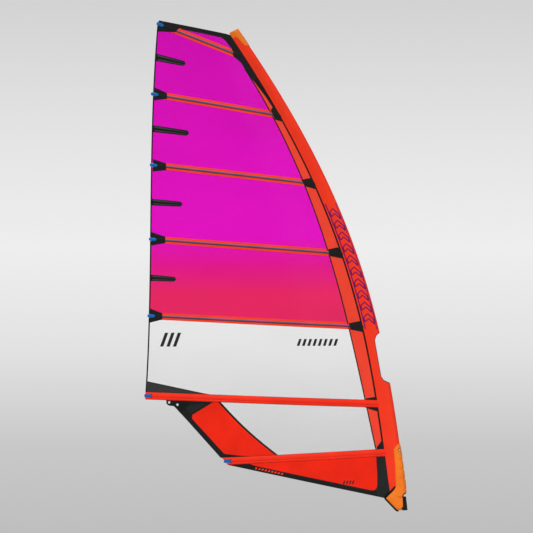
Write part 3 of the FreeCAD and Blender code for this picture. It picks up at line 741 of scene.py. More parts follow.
def seam_cloths():
    """Black tapes along the luff seam and the sleeve seam, and the binding of the leech."""
    seam = lambda z: strip_back(z) - LUFF_TAPE / 2
    tape("luff_seam_tape", [run(seam, 0.530, 3.96, 0.05)], LUFF_TAPE, 0.0016, "edge", ["seam_tapes"])
    outlines = [gap_cell(gap, strip_front, body_front) for gap in range(2, 7)]
    outlines.append(cell(level(STRIP_START + LAP), under_upper[2], strip_front, body_front))
    sheet("sleeve_seam_tape", outlines, "edge", lifts=both(BAND_OUT))
    edge = lambda z: leech_edge(z) + LEECH_TAPE / 2
    leech = tape("leech_binding", [run(edge, 1.03, 4.372, 0.06)], LEECH_TAPE, 0.0017, "edge",
                 ["leech_tape"])
    for number in range(1, 7):
        notch(leech, battens[number], NOTCH_DEPTH)


def head_cloths():
    """The band along the head, and the reinforcement between it and the sleeve."""
    band = rounded([(*on(upper[1], BAND_START), 0), (*cross(upper[1], head_inner), 0),
                    (*on(head_inner, BAND_END - 0.03), 0), (-1.600, 4.200, 0),
                    (*on(head_edge, BAND_END + 0.015), 0.01), (*on(head_edge, -2.214), 0.008),
                    (-2.222, 4.380, 0), (-2.150, 4.366, 0)])
    sheet("head_band_cloth", [band], "black", ["head_band"], lifts=both(BAND_OUT))
    inner = rounded([(*on(head_inner, -1.760), 0), (-1.664, 4.260, 0.06), (-1.614, 4.210, 0.06),
                     (-1.557, 4.137, 0), (-1.545, 4.073, 0), (-1.477, 4.017, 0), (-1.389, 3.872, 0),
                     (strip_front(STRIP_START) + 0.004, STRIP_START - 0.03, 0)])
    outer = run(body_front, STRIP_START - 0.03, 4.262)
    outer += [on(head_edge, BAND_END + 0.015), on(head_edge, -1.760)]
    sheet("head_reinforcement_cloth", [inner + outer], "black", ["head_reinforcement"],
          lifts=both(HEAD_OUT))


def diagonal(shift):
    """The slightly bowed seam from the sixth batten down to the seventh, moved along X."""
    head = Vector(on(under_lower[6], DIAGONAL_HEAD + shift))
    foot = Vector(on(under_upper[7], DIAGONAL_FOOT + shift))
    along = foot - head
    bow = Vector((along.y, -along.x)).normalized() * 0.020
    return [tuple(head + along * (k / 12) + bow * math.sin(math.pi * k / 12)) for k in range(13)]


def foot_cloths():
    """The red foot panels, the black band round them and the tack."""
    panel = rounded([(-1.752, 0.990, 0), (-1.937, 0.852, 0.035), (-1.937, 0.790, 0), (-1.640, 0.480, 0),
                     (-1.368, 0.464, 0), (*on(under_upper[7], -1.300), 0)]) + diagonal(0.010)[::-1]
    sheet("foot_panel_aft", [panel], "foot", ["foot_panel_upper"], step=CELL)
    low = rounded([(-1.400, 0.412, 0), (*on(foot_inner, -1.350), 0), (*on(foot_inner, -0.250), 0.075),
                   (-0.250, 0.300, 0), (-0.259, 0.458, 0), (*on(under_lower[7], -0.262), 0)])
    sheet("foot_panel_fore", [low], "foot", ["foot_panel_lower"], step=CELL,
          lifts=both(FOOT_OUT))
    clew = rounded([(*on(clew_edge, -1.985), 0), (*cross(clew_edge, upper[7]), 0),
                    (*on(upper[7], -1.560), 0), (*on(upper[7], -1.368), 0), (-1.368, 0.477, 0),
                    (-1.485, 0.483, 0), (-1.626, 0.499, 0), (*on(clew_inner, -1.880), 0),
                    (*on(clew_inner, -1.985), 0)])
    seam = diagonal(0.0) + diagonal(DIAGONAL_WIDTH)[::-1]
    band = [cross(foot_edge, lower[7]), on(foot_edge, TACK_BACK), on(foot_inner, TACK_BACK),
            on(foot_inner, -1.300), (-1.400, 0.412), on(under_lower[7], -1.480)]
    sheet("foot_band_cloth", [clew, seam, band], "black", ["foot_band"], lifts=both(BAND_OUT))
    tack = [on(foot_edge, TACK_BACK - 0.09), (-0.186, 0.099), (-0.146, 0.140)]
    tack += run(body_front, 0.145, meet(under_lower[7], body_front)[1])
    tack += [on(under_lower[7], TACK_BACK - 0.09)]
    sheet("tack_cloth", [tack], "grey", ["tack_panel"], lifts=both(TACK_OUT))


def clew_cloths():
    """Layers of cloth round the clew's eyelets, and the mesh corner above them."""
    nose = [(-2.150, lower[6](-2.150) + 0.010, 0), (-2.147, 0.950, 0.010), (-2.134, 0.936, 0.012),
            (-2.114, 0.929, 0.012), (-2.080, 0.927, 0.02)]
    patch = rounded(nose + [(*on(clew_edge, -1.960), 0), (*on(clew_inner, -1.915), 0), (-1.917, 0.848, 0.035),
                            (*on(under_lower[6], -1.706), 0),
                            (*on(under_lower[6], -2.145), 0)])
    bore(sheet("clew_cloth", [patch], "black", ["clew_patch"], lifts=both(CLEW_OUT)))
    layer = rounded([(-1.983, 0.925, 0.01), (-1.930, 0.858, 0.012), (-1.905, 0.873, 0.02),
                     (-1.800, 0.940, 0.01), (-1.806, 0.954, 0)])
    bore(sheet("clew_reinforcement", [layer], "grey", lifts=both(CLEW_LAYER_OUT)))
    core = rounded([(-2.090, 0.953, 0.01), (-2.020, 0.880, 0.01), (-1.995, 0.893, 0.02),
                    (-1.925, 0.958, 0.01)])
    bore(sheet("clew_core", [core], "edge", lifts=both(CLEW_CORE_OUT)))
    top = line(-2.312, 1.145, -1.809, 1.039)
    corner = [meet(under_upper[6], leech_edge), on(under_upper[6], -1.760),
              on(top, -1.809), meet(top, leech_edge)]
    sheet("leech_corner_mesh", [corner], "mesh", ["leech_corner_patch"], lifts=both(MESH_OUT))
    edging = [meet(top, leech_edge), on(top, -2.05), (-1.809, 1.039), (-1.760, 1.032)]
    tape("corner_edging", [edging], 0.007, 0.0024, "edge")


def bore(made):
    """Cuts the clew's round holes through a sheet."""
    cutter_mesh = bmesh.new()
    for x, z in EYELETS:
        turns = [2 * math.pi * k / 32 for k in range(32)]
        prism(cutter_mesh, [(x + BORE * math.cos(turn), z + BORE * math.sin(turn)) for turn in turns])
    cut_away(made, cutter_mesh)


def prism(mesh, outline, back=lambda x, z: 0.3):
    """A solid over an outline in XZ, from beyond the starboard side to a depth."""
    join_rings(mesh, [[(x, -0.3, z) for x, z in outline], [(x, back(x, z), z) for x, z in outline]])


def cut_away(made, cutter_mesh):
    """Takes a cutter out of an object."""
    bmesh.ops.recalc_face_normals(cutter_mesh, faces=cutter_mesh.faces[:])
    data = bpy.data.meshes.new("cutter")
    cutter_mesh.to_mesh(data)
    cutter_mesh.free()
    cutter = bpy.data.objects.new("cutter", data)
    bpy.context.scene.collection.objects.link(cutter)
    cut = made.modifiers.new("cut", "BOOLEAN")
    cut.object = cutter
    cut.solver = "EXACT"
    settle(made)
    bpy.data.objects.remove(cutter)


# ---------------------------------------------------------------- battens and their pockets

class Batten:
    """Places along one batten, measured from the leech."""

    def __init__(self, number):
        self.number = number
        x0, z0, x1, z1 = BATTENS[number - 1]
        self.length = math.hypot(x1 - x0, z1 - z0)
        self.along = Vector((x1 - x0, z1 - z0)) / self.length
        self.up = Vector((-self.along.y, self.along.x))
        self.start = Vector((x0, z0))
        self.tube = number >= FIRST_TUBE

    def at(self, distance, rise=0.0):
        return self.start + self.along * distance + self.up * rise

    def station(self, x):
        """Distance along the batten at a place along X."""
        return (x - self.start.x) / self.along.x

    def local(self, x, z):
        away = Vector((x, z)) - self.start
        return away.dot(self.along), away.dot(self.up)

    def point(self, distance):
        flat = self.at(distance)
        return Vector((flat.x, draft(*flat), flat.y))

    def out_of_leech(self):
        return (self.point(0) - self.point(TIP_LENGTH)).normalized()


battens = {number: Batten(number) for number in NUMBERS}


def flat_height(rise):
    """Half thickness of a flat pocket across its width: two tapes and the swelling over the batten."""
    inside = clamp(1 - (rise / CHANNEL) ** 2)
    return 0.0014 + 0.0032 * math.sqrt(inside)


FLAT_STATIONS = [-0.031, -0.0302, -0.024, -0.017, -0.0135, -0.0125, -0.0105, -0.0075, -0.004, 0.0,
                 0.004, 0.0075, 0.0105, 0.0125, 0.0135, 0.017, 0.024, 0.0302, 0.031]


def channel_look(rise):
    """Which of a flat pocket's finishes a place across it has: the channel's grey core, its upper band as a
    lighter copy for a painted highlight, or its lower band as a darker copy for painted shade.
    """
    if abs(rise) > 0.0105:
        return 0
    return 2 if rise > 0.004 else 3 if rise < -0.004 else 1


def flat_pocket(batten, fore_station):
    """Two orange tapes with the batten's channel between them."""
    near = [(rise, -flat_height(rise) * (0.5 if abs(rise) > 0.0305 else 1)) for rise in FLAT_STATIONS]
    far = [(rise, -out) for rise, out in near[::-1]]
    profile = near + far
    # faces on the channel's upper band get the painted highlight, and faces on its lower band get painted
    # shade
    looks = [channel_look((a[0] + b[0]) / 2) for a, b in zip(profile, profile[1:] + profile[:1])]
    count = int(batten.length / 0.03)
    start = CAP_LENGTH - 0.03
    path = [tuple(batten.at(start + (fore_station - start) * k / count)) for k in range(count + 1)]
    made = skin("pocket_%d" % batten.number, strip_rings(path, profile),
                ["tape", "channel", "channel_painted_highlight", "channel_painted_shade"],
                ["batten_pocket_%d" % batten.number], faces=lambda k: looks[k])
    length_of(path)


def tube_height(rise):
    """Half thickness of a tube pocket."""
    return 0.0012 + 0.0118 * clamp(1 - (rise / TUBE_HALF) ** 2) ** 0.7


def tube_crease(rise):
    """Depth of the crease on a tube pocket's starboard side, under the batten."""
    return 0.0058 * math.exp(-((rise + 0.013) / 0.0045) ** 2)


def notch(made, batten, depth):
    """Opens cloth over a tensioner, from the starboard side to a depth past the middle."""
    room = 0.001
    corners = [(-0.05, -TIP_HALF - room), (TIP_LENGTH - TIP_OUT + room, -TIP_HALF - room),
               (TIP_LENGTH - TIP_OUT + room, TIP_HALF + room), (-0.05, TIP_HALF + room)]
    cutter = bmesh.new()
    prism(cutter, [tuple(batten.at(*corner)) for corner in corners], lambda x, z: draft(x, z) + depth)
    cut_away(made, cutter)


def slant(batten, distance, rise):
    """How far aft the seventh pocket's slanted end moves a place."""
    return 0.8 * rise * clamp(1 - distance / 0.2) if batten.number == 7 else 0.0


def tube_pocket(batten):
    """A round pocket with a crease along it, and dark edging along both its seams."""
    count = 22
    rises = [TUBE_HALF * math.cos(math.pi * k / count) for k in range(count + 1)]
    near = [(rise, tube_crease(rise) - tube_height(rise)) for rise in rises]
    far = [(rise, tube_height(rise)) for rise in rises[::-1]]
    steps = int(batten.length / 0.025)
    end = batten.length + 0.012
    rings = []
    for k in range(steps + 1):
        distance = end * k / steps
        path = [tuple(batten.at(distance - 0.001)), tuple(batten.at(distance + 0.001))]
        slack = 1 + 0.05 * noise.noise(Vector((9 * distance, batten.number, 0)))
        shrink = 1 - 0.2 * clamp((distance - end + 0.02) / 0.02)
        shape = [(rise, out * slack * shrink) for rise, out in near + far]
        ring = strip_rings(path, shape)[0]
        for point, (rise, _) in zip(ring, shape):
            point.x -= slant(batten, distance, rise)
        rings.append(ring)
    made = skin("pocket_%d" % batten.number, rings, "tube", ["batten_pocket_%d" % batten.number])
    notch(made, batten, NOTCH_DEPTH)
    stations = [0.004 + (end - 0.040) * k / 60 for k in range(61)]
    edges = []
    for side in (1, -1):
        edges.append([tuple(batten.at(distance - slant(batten, distance, side * TUBE_HALF),
                                      side * (TUBE_HALF - 0.001))) for distance in stations])
    tape("pocket_%d_edging" % batten.number, edges, 0.0045, 0.0022, "edge")


LEECH_PATCHES = {
    1: [(-2.217, 4.390), (-2.012, 4.350), (-2.068, 4.290), (-2.222, 4.296)],
    2: [(-2.251, 3.794), (-2.142, 3.744), (-2.142, 3.690), (-2.259, 3.677)],
    3: [(-2.267, 3.150), (-2.150, 3.110), (-2.150, 3.048), (-2.271, 3.036)],
    4: [(-2.281, 2.493), (-2.157, 2.452), (-2.157, 2.392), (-2.283, 2.371)],
    5: [(-2.293, 1.805), (-2.184, 1.762), (-2.184, 1.705), (-2.296, 1.677)],
}
LUFF_PATCHES = {
    1: [(-1.552, 4.092), (-1.543, 4.114), (-1.470, 4.085), (-1.479, 4.060)],
    2: [(-1.209, 3.588), (-1.190, 3.618), (-1.106, 3.478), (-1.168, 3.504)],
    3: [(-0.935, 2.961), (-0.852, 2.979), (-0.796, 2.871), (-0.893, 2.903)],
    4: [(-0.693, 2.336), (-0.612, 2.354), (-0.574, 2.250), (-0.675, 2.277)],
    5: [(-0.507, 1.672), (-0.405, 1.692), (-0.372, 1.589), (-0.492, 1.616)],
}


def over_pocket(batten):
    """Height of a patch that lies over a flat pocket, and flattens away from it."""
    def height(x, z):
        rise = batten.local(x, z)[1]
        if abs(rise) > FLAT_HALF:
            return 0.0014 * math.exp(-((abs(rise) - FLAT_HALF) / 0.012) ** 2)
        return flat_height(rise)
    return height


def end_patches():
    """Black cloth over both ends of each flat pocket."""
    for number, outline in LEECH_PATCHES.items():
        batten = battens[number]
        stands = ["batten_end_caps"] if number == 1 else []
        made = sheet("leech_patch_%d" % number, [outline], "black", stands, step=CLOSE,
                     lifts=both(PATCH_OUT), height=over_pocket(batten))
        notch(made, batten, 0.0)
    for number, outline in LUFF_PATCHES.items():
        if number > 1:
            shape = outline[:2] + run(body_front, outline[1][1] - 0.002, outline[2][1], 0.02) + outline[3:]
        else:
            shape = outline
        out = MESH_OUT if number > 1 else TIP_PATCH_OUT
        sheet("luff_patch_%d" % number, [shape], "black", step=CLOSE, lifts=both(out),
              height=over_pocket(battens[number]))
    wedges = [[(-0.352, 0.996), (-0.264, 1.010), (-0.250, 0.965), (-0.352, 0.970)],
              [(-0.387, 0.925), (-0.240, 0.925), (-0.246, 0.880), (-0.262, 0.882), (-0.335, 0.906)],
              [(-0.262, 0.520), (-0.180, 0.525), (-0.198, 0.625), (-0.212, 0.612), (-0.254, 0.556)]]
    sheet("luff_wedges", wedges, "black", lifts=both(WEDGE_OUT))


MINORS = [(4.067, (-1.976, 4.005), 0.034, 0.0225), (3.4245, (-1.944, 3.380), 0.0315, 0.0245),
          (2.7635, (-2.003, 2.742), 0.0315, 0.0225), (2.0815, (-2.061, 2.067), 0.0295, 0.0205)]


def minor_pockets():
    """Short tapered battens under cloth, between the full battens, on the starboard face."""
    mesh = bmesh.new()
    length_total, area = 0.0, 0.0
    for height, tip, root_half, tip_half in MINORS:
        start = Vector((leech_edge(height) + 0.005, height))
        span = Vector(tip) - start
        along = span.normalized()
        rings = []
        count = 26
        for k in range(count + 1):
            share = 1 - (1 - k / count) ** 1.6
            place = start + span * share
            left = span.length * (1 - share)
            half = root_half + (tip_half - root_half) * share
            half *= math.sqrt(clamp(1 - (1 - clamp(left / tip_half)) ** 2, 0.02, 1))
            groove = 0.0034 * clamp(half / tip_half)
            slope = [(-half, 0.0), (-half, -0.0016), (-half * 0.86, -0.0026), (-half * 0.34, -0.0030),
                     (-half * 0.26, -groove - 0.0012)]
            profile = slope + [(0, -groove - 0.0022)] + [(-across, out) for across, out in slope[::-1]]
            path = [tuple(place - along * 0.001), tuple(place + along * 0.001)]
            rings.append(strip_rings(path, profile)[0])
        join_rings(mesh, rings, faces=lambda k: 1 if 3 <= k <= 6 else 0)
        length_total += span.length
        area += 2 * span.length * (root_half + tip_half) / 2
    made = piece("minor_pockets", mesh, ["black", "edge"], replaces=["minor_batten_pockets"])


def batten_tips():
    """Blue tensioners at the leech: a ribbed block with a socket for the key."""
    for number, batten in battens.items():
        deep = 0.0088 if batten.tube else 0.0046
        out = batten.out_of_leech()
        up = Vector((batten.up.x, 0, batten.up.y))
        across = out.cross(up).normalized()
        origin = batten.point(0)
        back, middle = TIP_OUT - TIP_LENGTH, TIP_OUT - TIP_LENGTH / 2
        outline = rounded([(TIP_OUT, TIP_HALF * 0.82, 0.005), (TIP_OUT, -TIP_HALF * 0.82, 0.005),
                           (TIP_OUT - 0.012, -TIP_HALF, 0.004), (back + 0.018, -TIP_HALF, 0.008),
                           (back, -TIP_HALF * 0.55, 0.005), (back, TIP_HALF * 0.55, 0.005),
                           (back + 0.018, TIP_HALF, 0.008), (TIP_OUT - 0.012, TIP_HALF, 0.004)], 4)
        mesh = bmesh.new()
        rings = []
        for depth, scale in ((1.0, 0.90), (0.72, 1.0), (-0.72, 1.0), (-1.0, 0.90)):
            rings.append([origin + out * (middle + (a - middle) * scale)
                          + up * (b * scale) + across * (deep * depth) for a, b in outline])
        join_rings(mesh, rings)
        for k in range(5):
            place = TIP_OUT - 0.014 - 0.0065 * k
            for side in (1, -1):
                ring = []
                for share in (-0.72, 0.72):
                    foot = origin + out * place + up * (TIP_HALF * share) + across * (side * deep * 0.95)
                    ring.append([foot - out * 0.0014, foot + across * (side * 0.0011), foot + out * 0.0014])
                join_rings(mesh, ring)
        head = origin + out * (TIP_OUT + 0.0002)
        socket = [(0.0022, 0.0), (0.0036, 0.0), (0.0036, 0.0012), (0.0022, 0.0012)]
        lathe(mesh, socket, head, out, 18)
        stem = [[origin + out * a + up * b + across * c for b, c in
                 ((0.0065, 0.0014), (0.0065, -0.0014), (-0.0065, -0.0014), (-0.0065, 0.0014))]
                for a in (back + 0.004, back - 0.030, back - 0.044)]
        join_rings(mesh, stem)
        made = piece("batten_tip_%d" % number, mesh, "blue", body="tensioner_%d" % number,
                     replaces=["tensioner_%d" % number])
        bevel = made.modifiers.new("edges", "BEVEL")
        bevel.width = 0.0007
        bevel.segments = 2
        bevel.angle_limit = math.radians(40)


# ---------------------------------------------------------------- sleeve, cap and pad

def sleeve_side(x, z, out=0.0):
    """Half depth of the sleeve at a place in side view."""
    root = math.sqrt(clamp((luff_edge(z) - x) / sleeve_width(z)))
    return sleeve_bulge(z) * math.sin(math.pi * root) + 0.003 * root + out


def sleeve_point(turn, z, out=0.0):
    """A point of the sleeve's skin; turn runs from -1 on starboard to 1 on port."""
    root = abs(turn)
    side = 1 if turn >= 0 else -1
    grown = sleeve_bulge(z) + out
    x = luff_edge(z) + out - root * root * (sleeve_width(z) + out)
    return Vector((x, side * (grown * math.sin(math.pi * root) + 0.003 * root), z))


def crease(turn, z):
    """How far soft creases push the sleeve's skin out."""
    folds = noise.noise(Vector((3 * turn, 2.2 * z, 4.0))) + 0.5 * noise.noise(Vector((7 * turn, 11 * z, 1.0)))
    return 0.0016 * folds * math.sin(math.pi * abs(turn))


def sleeve_skin(side, x, z):
    """The creased skin at a place in side view."""
    root = math.sqrt(clamp((luff_edge(z) - x) / sleeve_width(z)))
    return side * (sleeve_side(x, z) + crease(side * root, z))


def notch_height(x):
    """Foot of the sleeve and pad: cut away in an arc in front of the mast foot."""
    cx, cz, radius = NOTCH
    reach = clamp((x - cx + radius) / radius)
    return cz - 0.002 + math.sqrt(max(0.0, radius ** 2 - (radius * (1 - reach)) ** 2))


def cap_top(x):
    """Top of the head cap in side view."""
    return line(-1.599, 4.275, -1.508, 4.317)(x)


def under_cap_top(turn, drop, out=0.0):
    """Height at which one column of the sleeve's skin comes within a drop of the cap's top."""
    z = 4.27
    for _ in range(12):
        z = 0.5 * (z + cap_top(sleeve_point(turn, z, out).x) - drop)
    return z


def cutout_outline():
    """The boom cutout with its corners rounded, but for the two in front of the luff."""
    return rounded([(x, z, 0.03 if 0 < k < len(CUTOUT) - 1 else 0) for k, (x, z) in enumerate(CUTOUT)])


def sleeve():
    """Both sides of the luff sleeve in one skin, with the boom cutout through it."""
    def place(across, share):
        turn = -1 + 2 * across
        foot = notch_height(sleeve_point(turn, 0.13).x)
        z = foot + (under_cap_top(turn, 0.010) - foot) * share
        point = sleeve_point(turn, z)
        point.y += (1 if turn >= 0 else -1) * crease(turn, z)
        return point

    made = thicken(skin("luff_sleeve", grid(150, 56, place), "sleeve",
                        ["luff_sleeve_port", "luff_sleeve_starboard"], closed=False), 0.0018)
    cutter = bmesh.new()
    prism(cutter, cutout_outline())
    cut_away(made, cutter)
    cutout_binding()


def cutout_binding():
    """Edging round the boom cutout, on both sides of the sleeve."""
    path = [p for p in cutout_outline() if p[0] < luff_edge(p[1]) - 0.0004]
    fine = [tuple(p) for p, _ in evenly(path, 90)]
    binding("boom_cutout_binding", fine, tape_profile(0.0055, 0.0019), sleeve_side, length_of(path))


CAP_FOOT = [(0.0, 4.169), (0.60, 4.169), (0.68, 4.190), (0.71, 4.228), (0.80, 4.243), (1.0, 4.243)]


def head_cap():
    """Padded cap over the sleeve's head, longer down its front."""
    columns, rows = 84, 14
    rings = []
    for j in range(rows + 5):
        ring = []
        for k in range(columns):
            turn = -1 + 2 * (k + 0.5) / columns
            low, high = between(CAP_FOOT, abs(turn)), under_cap_top(turn, 0.006, 0.004)
            if j <= rows:
                share = j / rows
                puff = 0.0030 + 0.0028 * math.sqrt(clamp(math.sin(math.pi * clamp(share, 0.02, 0.98))))
                ring.append(sleeve_point(turn, low + (high - low) * share, puff))
            else:
                lift = (j - rows) / 4
                shape = sleeve_point(turn, high, 0.0035)
                shape.y *= math.cos(lift * math.pi / 2) * 0.98 + 0.02
                shape.z += 0.008 * math.sin(lift * math.pi / 2)
                ring.append(shape)
        rings.append(ring)
    made = thicken(skin("sleeve_head_cap", rings, "cap", ["head_cap"], ends=False), 0.0022)


PAD_SEAMS = (0.191, 0.275, 0.359, 0.444)
PAD_REACH = [(0.150, 0.83), (0.202, 0.815), (0.261, 0.757), (0.373, 0.717), (0.458, 0.678), (0.536, 0.665),
             (0.600, 0.66)]


def pad_top(root, reach):
    return 0.593 - 0.055 * clamp(root / reach) ** 3.0


def pad_thickness(turn, side, share, z):
    """Thickness of the quilted pad: rounded at its edges, pulled in along its seams."""
    edge = min(1 - abs(side), 0.6 * share, 0.6 * (1 - share))
    crown = math.sqrt(clamp(edge / 0.10))
    quilt = 1.0
    for seam in PAD_SEAMS:
        slope = seam + (0.022 * (abs(side) - 0.5) if seam < 0.2 else 0.0)
        quilt = min(quilt, 0.25 + 0.75 * math.sqrt(clamp(abs(z - slope) / 0.020)))
    border = 0.55 + 0.45 * math.sqrt(clamp(abs(abs(side) - 0.90) / 0.06)) if abs(side) > 0.6 else 1.0
    return 0.0012 + 0.0078 * crown * quilt * border + 0.0004 * noise.noise(Vector((20 * turn, 0, 60 * z)))


def mast_pad():
    """Quilted pad round the front of the sleeve, over the mast foot."""
    columns, rows = 44, 110
    rings = []
    for j in range(rows + 1):
        share = j / rows
        reach = between(PAD_REACH, 0.150 + 0.440 * share)
        near, far = [], []
        for k in range(columns + 1):
            side = -1 + 2 * k / columns
            turn = side * reach
            foot = min(notch_height(sleeve_point(turn, 0.15).x) + 0.0005, 0.150)
            z = foot + (pad_top(abs(turn), reach) - foot) * share
            near.append(sleeve_point(turn, z, 0.0012 + pad_thickness(turn, side, share, z)))
            far.append(sleeve_point(turn, z, 0.0010))
        rings.append(near + far[::-1])
    made = skin("mast_foot_pad", rings, "pad", ["mast_pad"])
    press_stud()
    x0, radius = NOTCH[0] - NOTCH[2], NOTCH[2]
    reaches = [x0 + radius * (1 - math.cos(math.pi / 2 * k / 12)) * 0.999 for k in range(13)]
    arc = [(x, notch_height(x)) for x in reaches]
    binding("notch_binding", arc, tape_profile(0.009, 0.0062), lambda x, z: sleeve_side(x, z, 0.005),
            length_of(arc))


def press_stud():
    """Steel stud in a black ring near the pad's upper corner."""
    turn, z = -0.33, 0.536
    along = sleeve_point(turn + 0.01, z) - sleeve_point(turn - 0.01, z)
    out = Vector((along.y, -along.x, 0.0)).normalized()
    at = sleeve_point(turn, z, 0.0092)
    dome = [(0.0002, 0.0036), (0.005, 0.0033), (0.0085, 0.0018), (0.009, -0.001), (0.0002, -0.001)]
    ring = [(0.009, 0.0012), (0.0132, 0.0010), (0.014, -0.0010), (0.009, -0.0010)]
    for name, profile, look in (("pad_press_stud", dome, "steel"), ("pad_stud_ring", ring, "plastic")):
        mesh = bmesh.new()
        lathe(mesh, profile, at, out, 28)
        piece(name, mesh, look)


# ---------------------------------------------------------------- tack fairing and strap

FAIRING = [(-0.0225, 0.112, 0.006), (-0.0205, -0.004, 0.006), (-0.062, -0.014, 0.008),
           (-0.078, -0.010, 0.010), (-0.182, 0.098, 0.014), (-0.090, 0.201, 0.006),
           (-0.045, 0.160, 0.01), (-0.034, 0.128, 0.004)]
ZIP_RUN = [(-0.066, -0.0165), (-0.082, -0.0135), (-0.134, 0.042), (-0.187, 0.098)]
QUILTING = [([(-0.129, 0.143), (-0.039, 0.084)], 0.0024, 0.003),
            ([(-0.060, 0.024), (-0.146, 0.114)], 0.0012, 0.002)]
BOUND = [(-0.022, -0.004), (-0.062, -0.014), (-0.078, -0.010), (-0.182, 0.098), (-0.090, 0.201)]


def distance_to(points, x, z):
    """Distance from a place to an open run of points."""
    here = Vector((x, z))
    best = 9.0
    for a, b in zip(points, points[1:]):
        a, b = Vector(a), Vector(b)
        t = clamp((here - a).dot(b - a) / (b - a).length_squared)
        best = min(best, (here - a - (b - a) * t).length)
    return best


def fairing_half(x, z):
    """Half depth of the fairing: pinched along its zip, crowned inside, and clear of the sleeve."""
    away = distance_to(BOUND, x, z)
    half = 0.007 + 0.026 * (1 - math.exp(-away / 0.014))
    for row, depth, width in QUILTING:
        half -= depth * math.exp(-(distance_to(row, x, z) / width) ** 2)
    if z > 0.085:
        half = max(half, sleeve_side(x, max(z, 0.115), 0.0035) * clamp((z - 0.085) / 0.03))
    return half


def fairing():
    """Quilted cover of the tack, with its binding, its zip and the strap below it."""
    outline = rounded(FAIRING)
    mesh = bmesh.new()
    for side in (-1, 1):
        fill(mesh, outline, CLOSEST, lambda x, z: (x, side * fairing_half(x, z), z))
    made = thicken(piece("tack_fairing_cover", mesh, "pad", replaces=["tack_fairing"]), 0.003)
    bound = [p for p in outline if p[0] < -0.060 and distance_to(BOUND, *p) < 0.004]
    profile = [(0.0085 * (k / 5 - 1), -0.0012 - 0.0034 * math.sin(math.pi * k / 10)) for k in range(11)]
    profile += [(across, -out) for across, out in profile[::-1]]
    binding("fairing_binding", bound, profile, fairing_half, length_of(bound))
    zip_tape()
    strap()


def zip_tape():
    """Zip that closes the fairing along its lower edge: cloth tape and teeth."""
    mesh = bmesh.new()
    for point, across in evenly(ZIP_RUN, 46):
        for side in (-1, 1):
            lean = 0.0008 * side
            centre = Vector((point.x, side * 0.0014, point.y))
            out = Vector((across.x, 0, across.y))
            run_way = Vector((across.y, 0, -across.x))
            ring = [[centre + run_way * (lean + a) + out * b + Vector((0, c, 0)) for a, b in
                     ((-0.0007, -0.0011), (0.0007, -0.0011), (0.0009, 0.0011), (-0.0009, 0.0011))]
                    for c in (-0.0015, 0.0015)]
            join_rings(mesh, ring)
    piece("zip_teeth", mesh, "plastic")
    closing = [(-0.0010, -0.0085), (0.0010, -0.0085), (0.0010, 0.0085), (-0.0010, 0.0085)]
    path = [tuple(p) for p, _ in evenly(ZIP_RUN, 40)]
    made = skin("zip_cloth", strip_rings(path, closing, lambda x, z: 0.0), "edge")
    length_of(ZIP_RUN)


def strap():
    """Webbing loop round the front of the mast foot, wider at its lower edge."""
    low, high = -0.010, 0.112

    def place(across, share):
        turn = math.pi * (0.52 - 1.04 * across)
        x = 0.022 - 0.014 * share - 0.046 * (1 - math.cos(turn))
        return Vector((x, 0.0285 * math.sin(turn), low + (high - low) * share))

    made = thicken(skin("tack_webbing", grid(18, 40, place), "webbing", ["tack_strap"], closed=False), 0.0024)


# ---------------------------------------------------------------- small fittings and marks

def eyelets():
    """Two steel rings through the clew, each with a flange on both faces."""
    mesh = bmesh.new()
    turns = [2 * math.pi * k / 14 for k in range(14)]
    barrel = [(0.0118 + 0.0023 * math.cos(turn), 0.0042 * math.sin(turn)) for turn in turns]
    flange = [(0.0115, 0.0034), (0.0150, 0.0036), (0.0154, 0.0030), (0.0115, 0.0024)]
    for x, z in EYELETS:
        centre = (x, draft(x, z), z)
        lathe(mesh, barrel, centre, (0, 1, 0), 48)
        for side in (-1, 1):
            lathe(mesh, [(radius, side * out) for radius, out in flange], centre, (0, 1, 0), 48)
    piece("clew_rings", mesh, "dark_steel", replaces=["clew_eyelets"])


def slanted(x, z, width, tall, lean):
    """A leaning bar, for the plain marks that stand in for print."""
    return [(x, z), (x + width, z), (x + width + lean, z + tall), (x + lean, z + tall)]


def marks():
    """Plain bars and arrowheads in place of the printed names and badges."""
    window = [slanted(-2.205 + 0.058 * k, 1.462, 0.030, 0.125, 0.045) for k in range(3)]
    window += [slanted(-0.975 + 0.047 * k, 1.470, 0.024, 0.062, 0.020) for k in range(8)]
    sheet("window_print", window, "print", lifts=(-0.0008,), step=CELL, thickness=PRINT)
    bars = [slanted(-0.560 + 0.027 * k, 0.226, 0.013, 0.032, 0.010) for k in range(4)]
    sheet("panel_print", bars, "print", lifts=(-0.0026,), step=CELL, thickness=PRINT)
    places = [-1.350 + 0.029 * k for k in range(9)]
    dashes = [slanted(x, foot_edge(x) + 0.015, 0.017, 0.014, 0.005) for x in places]
    sheet("band_print", dashes, "tape", lifts=(-0.0019,), step=CELL, thickness=PRINT)
    sleeve_marks()


def across_sleeve(share, z):
    """A place on the sleeve in side view, at a share of its width behind the luff."""
    return luff_edge(z) - share * sleeve_width(z), z


ARROWHEAD = [(0.20, 0.000), (0.50, 0.050), (0.80, 0.018), (0.80, 0.062), (0.50, 0.094), (0.20, 0.044),
             (0.20, 0.000)]


def sleeve_marks():
    """Open arrowheads up the sleeve, between two border lines, on both sides."""
    mesh = bmesh.new()
    total = 0.0
    profile = [(-0.005, 0), (-0.005, 0.0004), (0.005, 0.0004), (0.005, 0)]
    paths = []
    for k in range(10):
        z = 1.665 + 0.105 * k
        corners = [across_sleeve(share, z + lift) for share, lift in ARROWHEAD]
        paths.append([tuple(p) for p, _ in evenly(corners, 30)])
    for share in (0.12, 0.88):
        paths.append([across_sleeve(share, 1.62 + 1.13 * k / 60) for k in range(61)])
    for side in (-1, 1):
        for path in paths:
            flip = [(a, side * (0.0013 + o)) for a, o in profile]
            join_rings(mesh, strip_rings(path, flip, lambda x, z: sleeve_skin(side, x, z)))
            total += length_of(path)
    made = piece("sleeve_print", mesh, "purple")
    ribbon(made, profile, total)


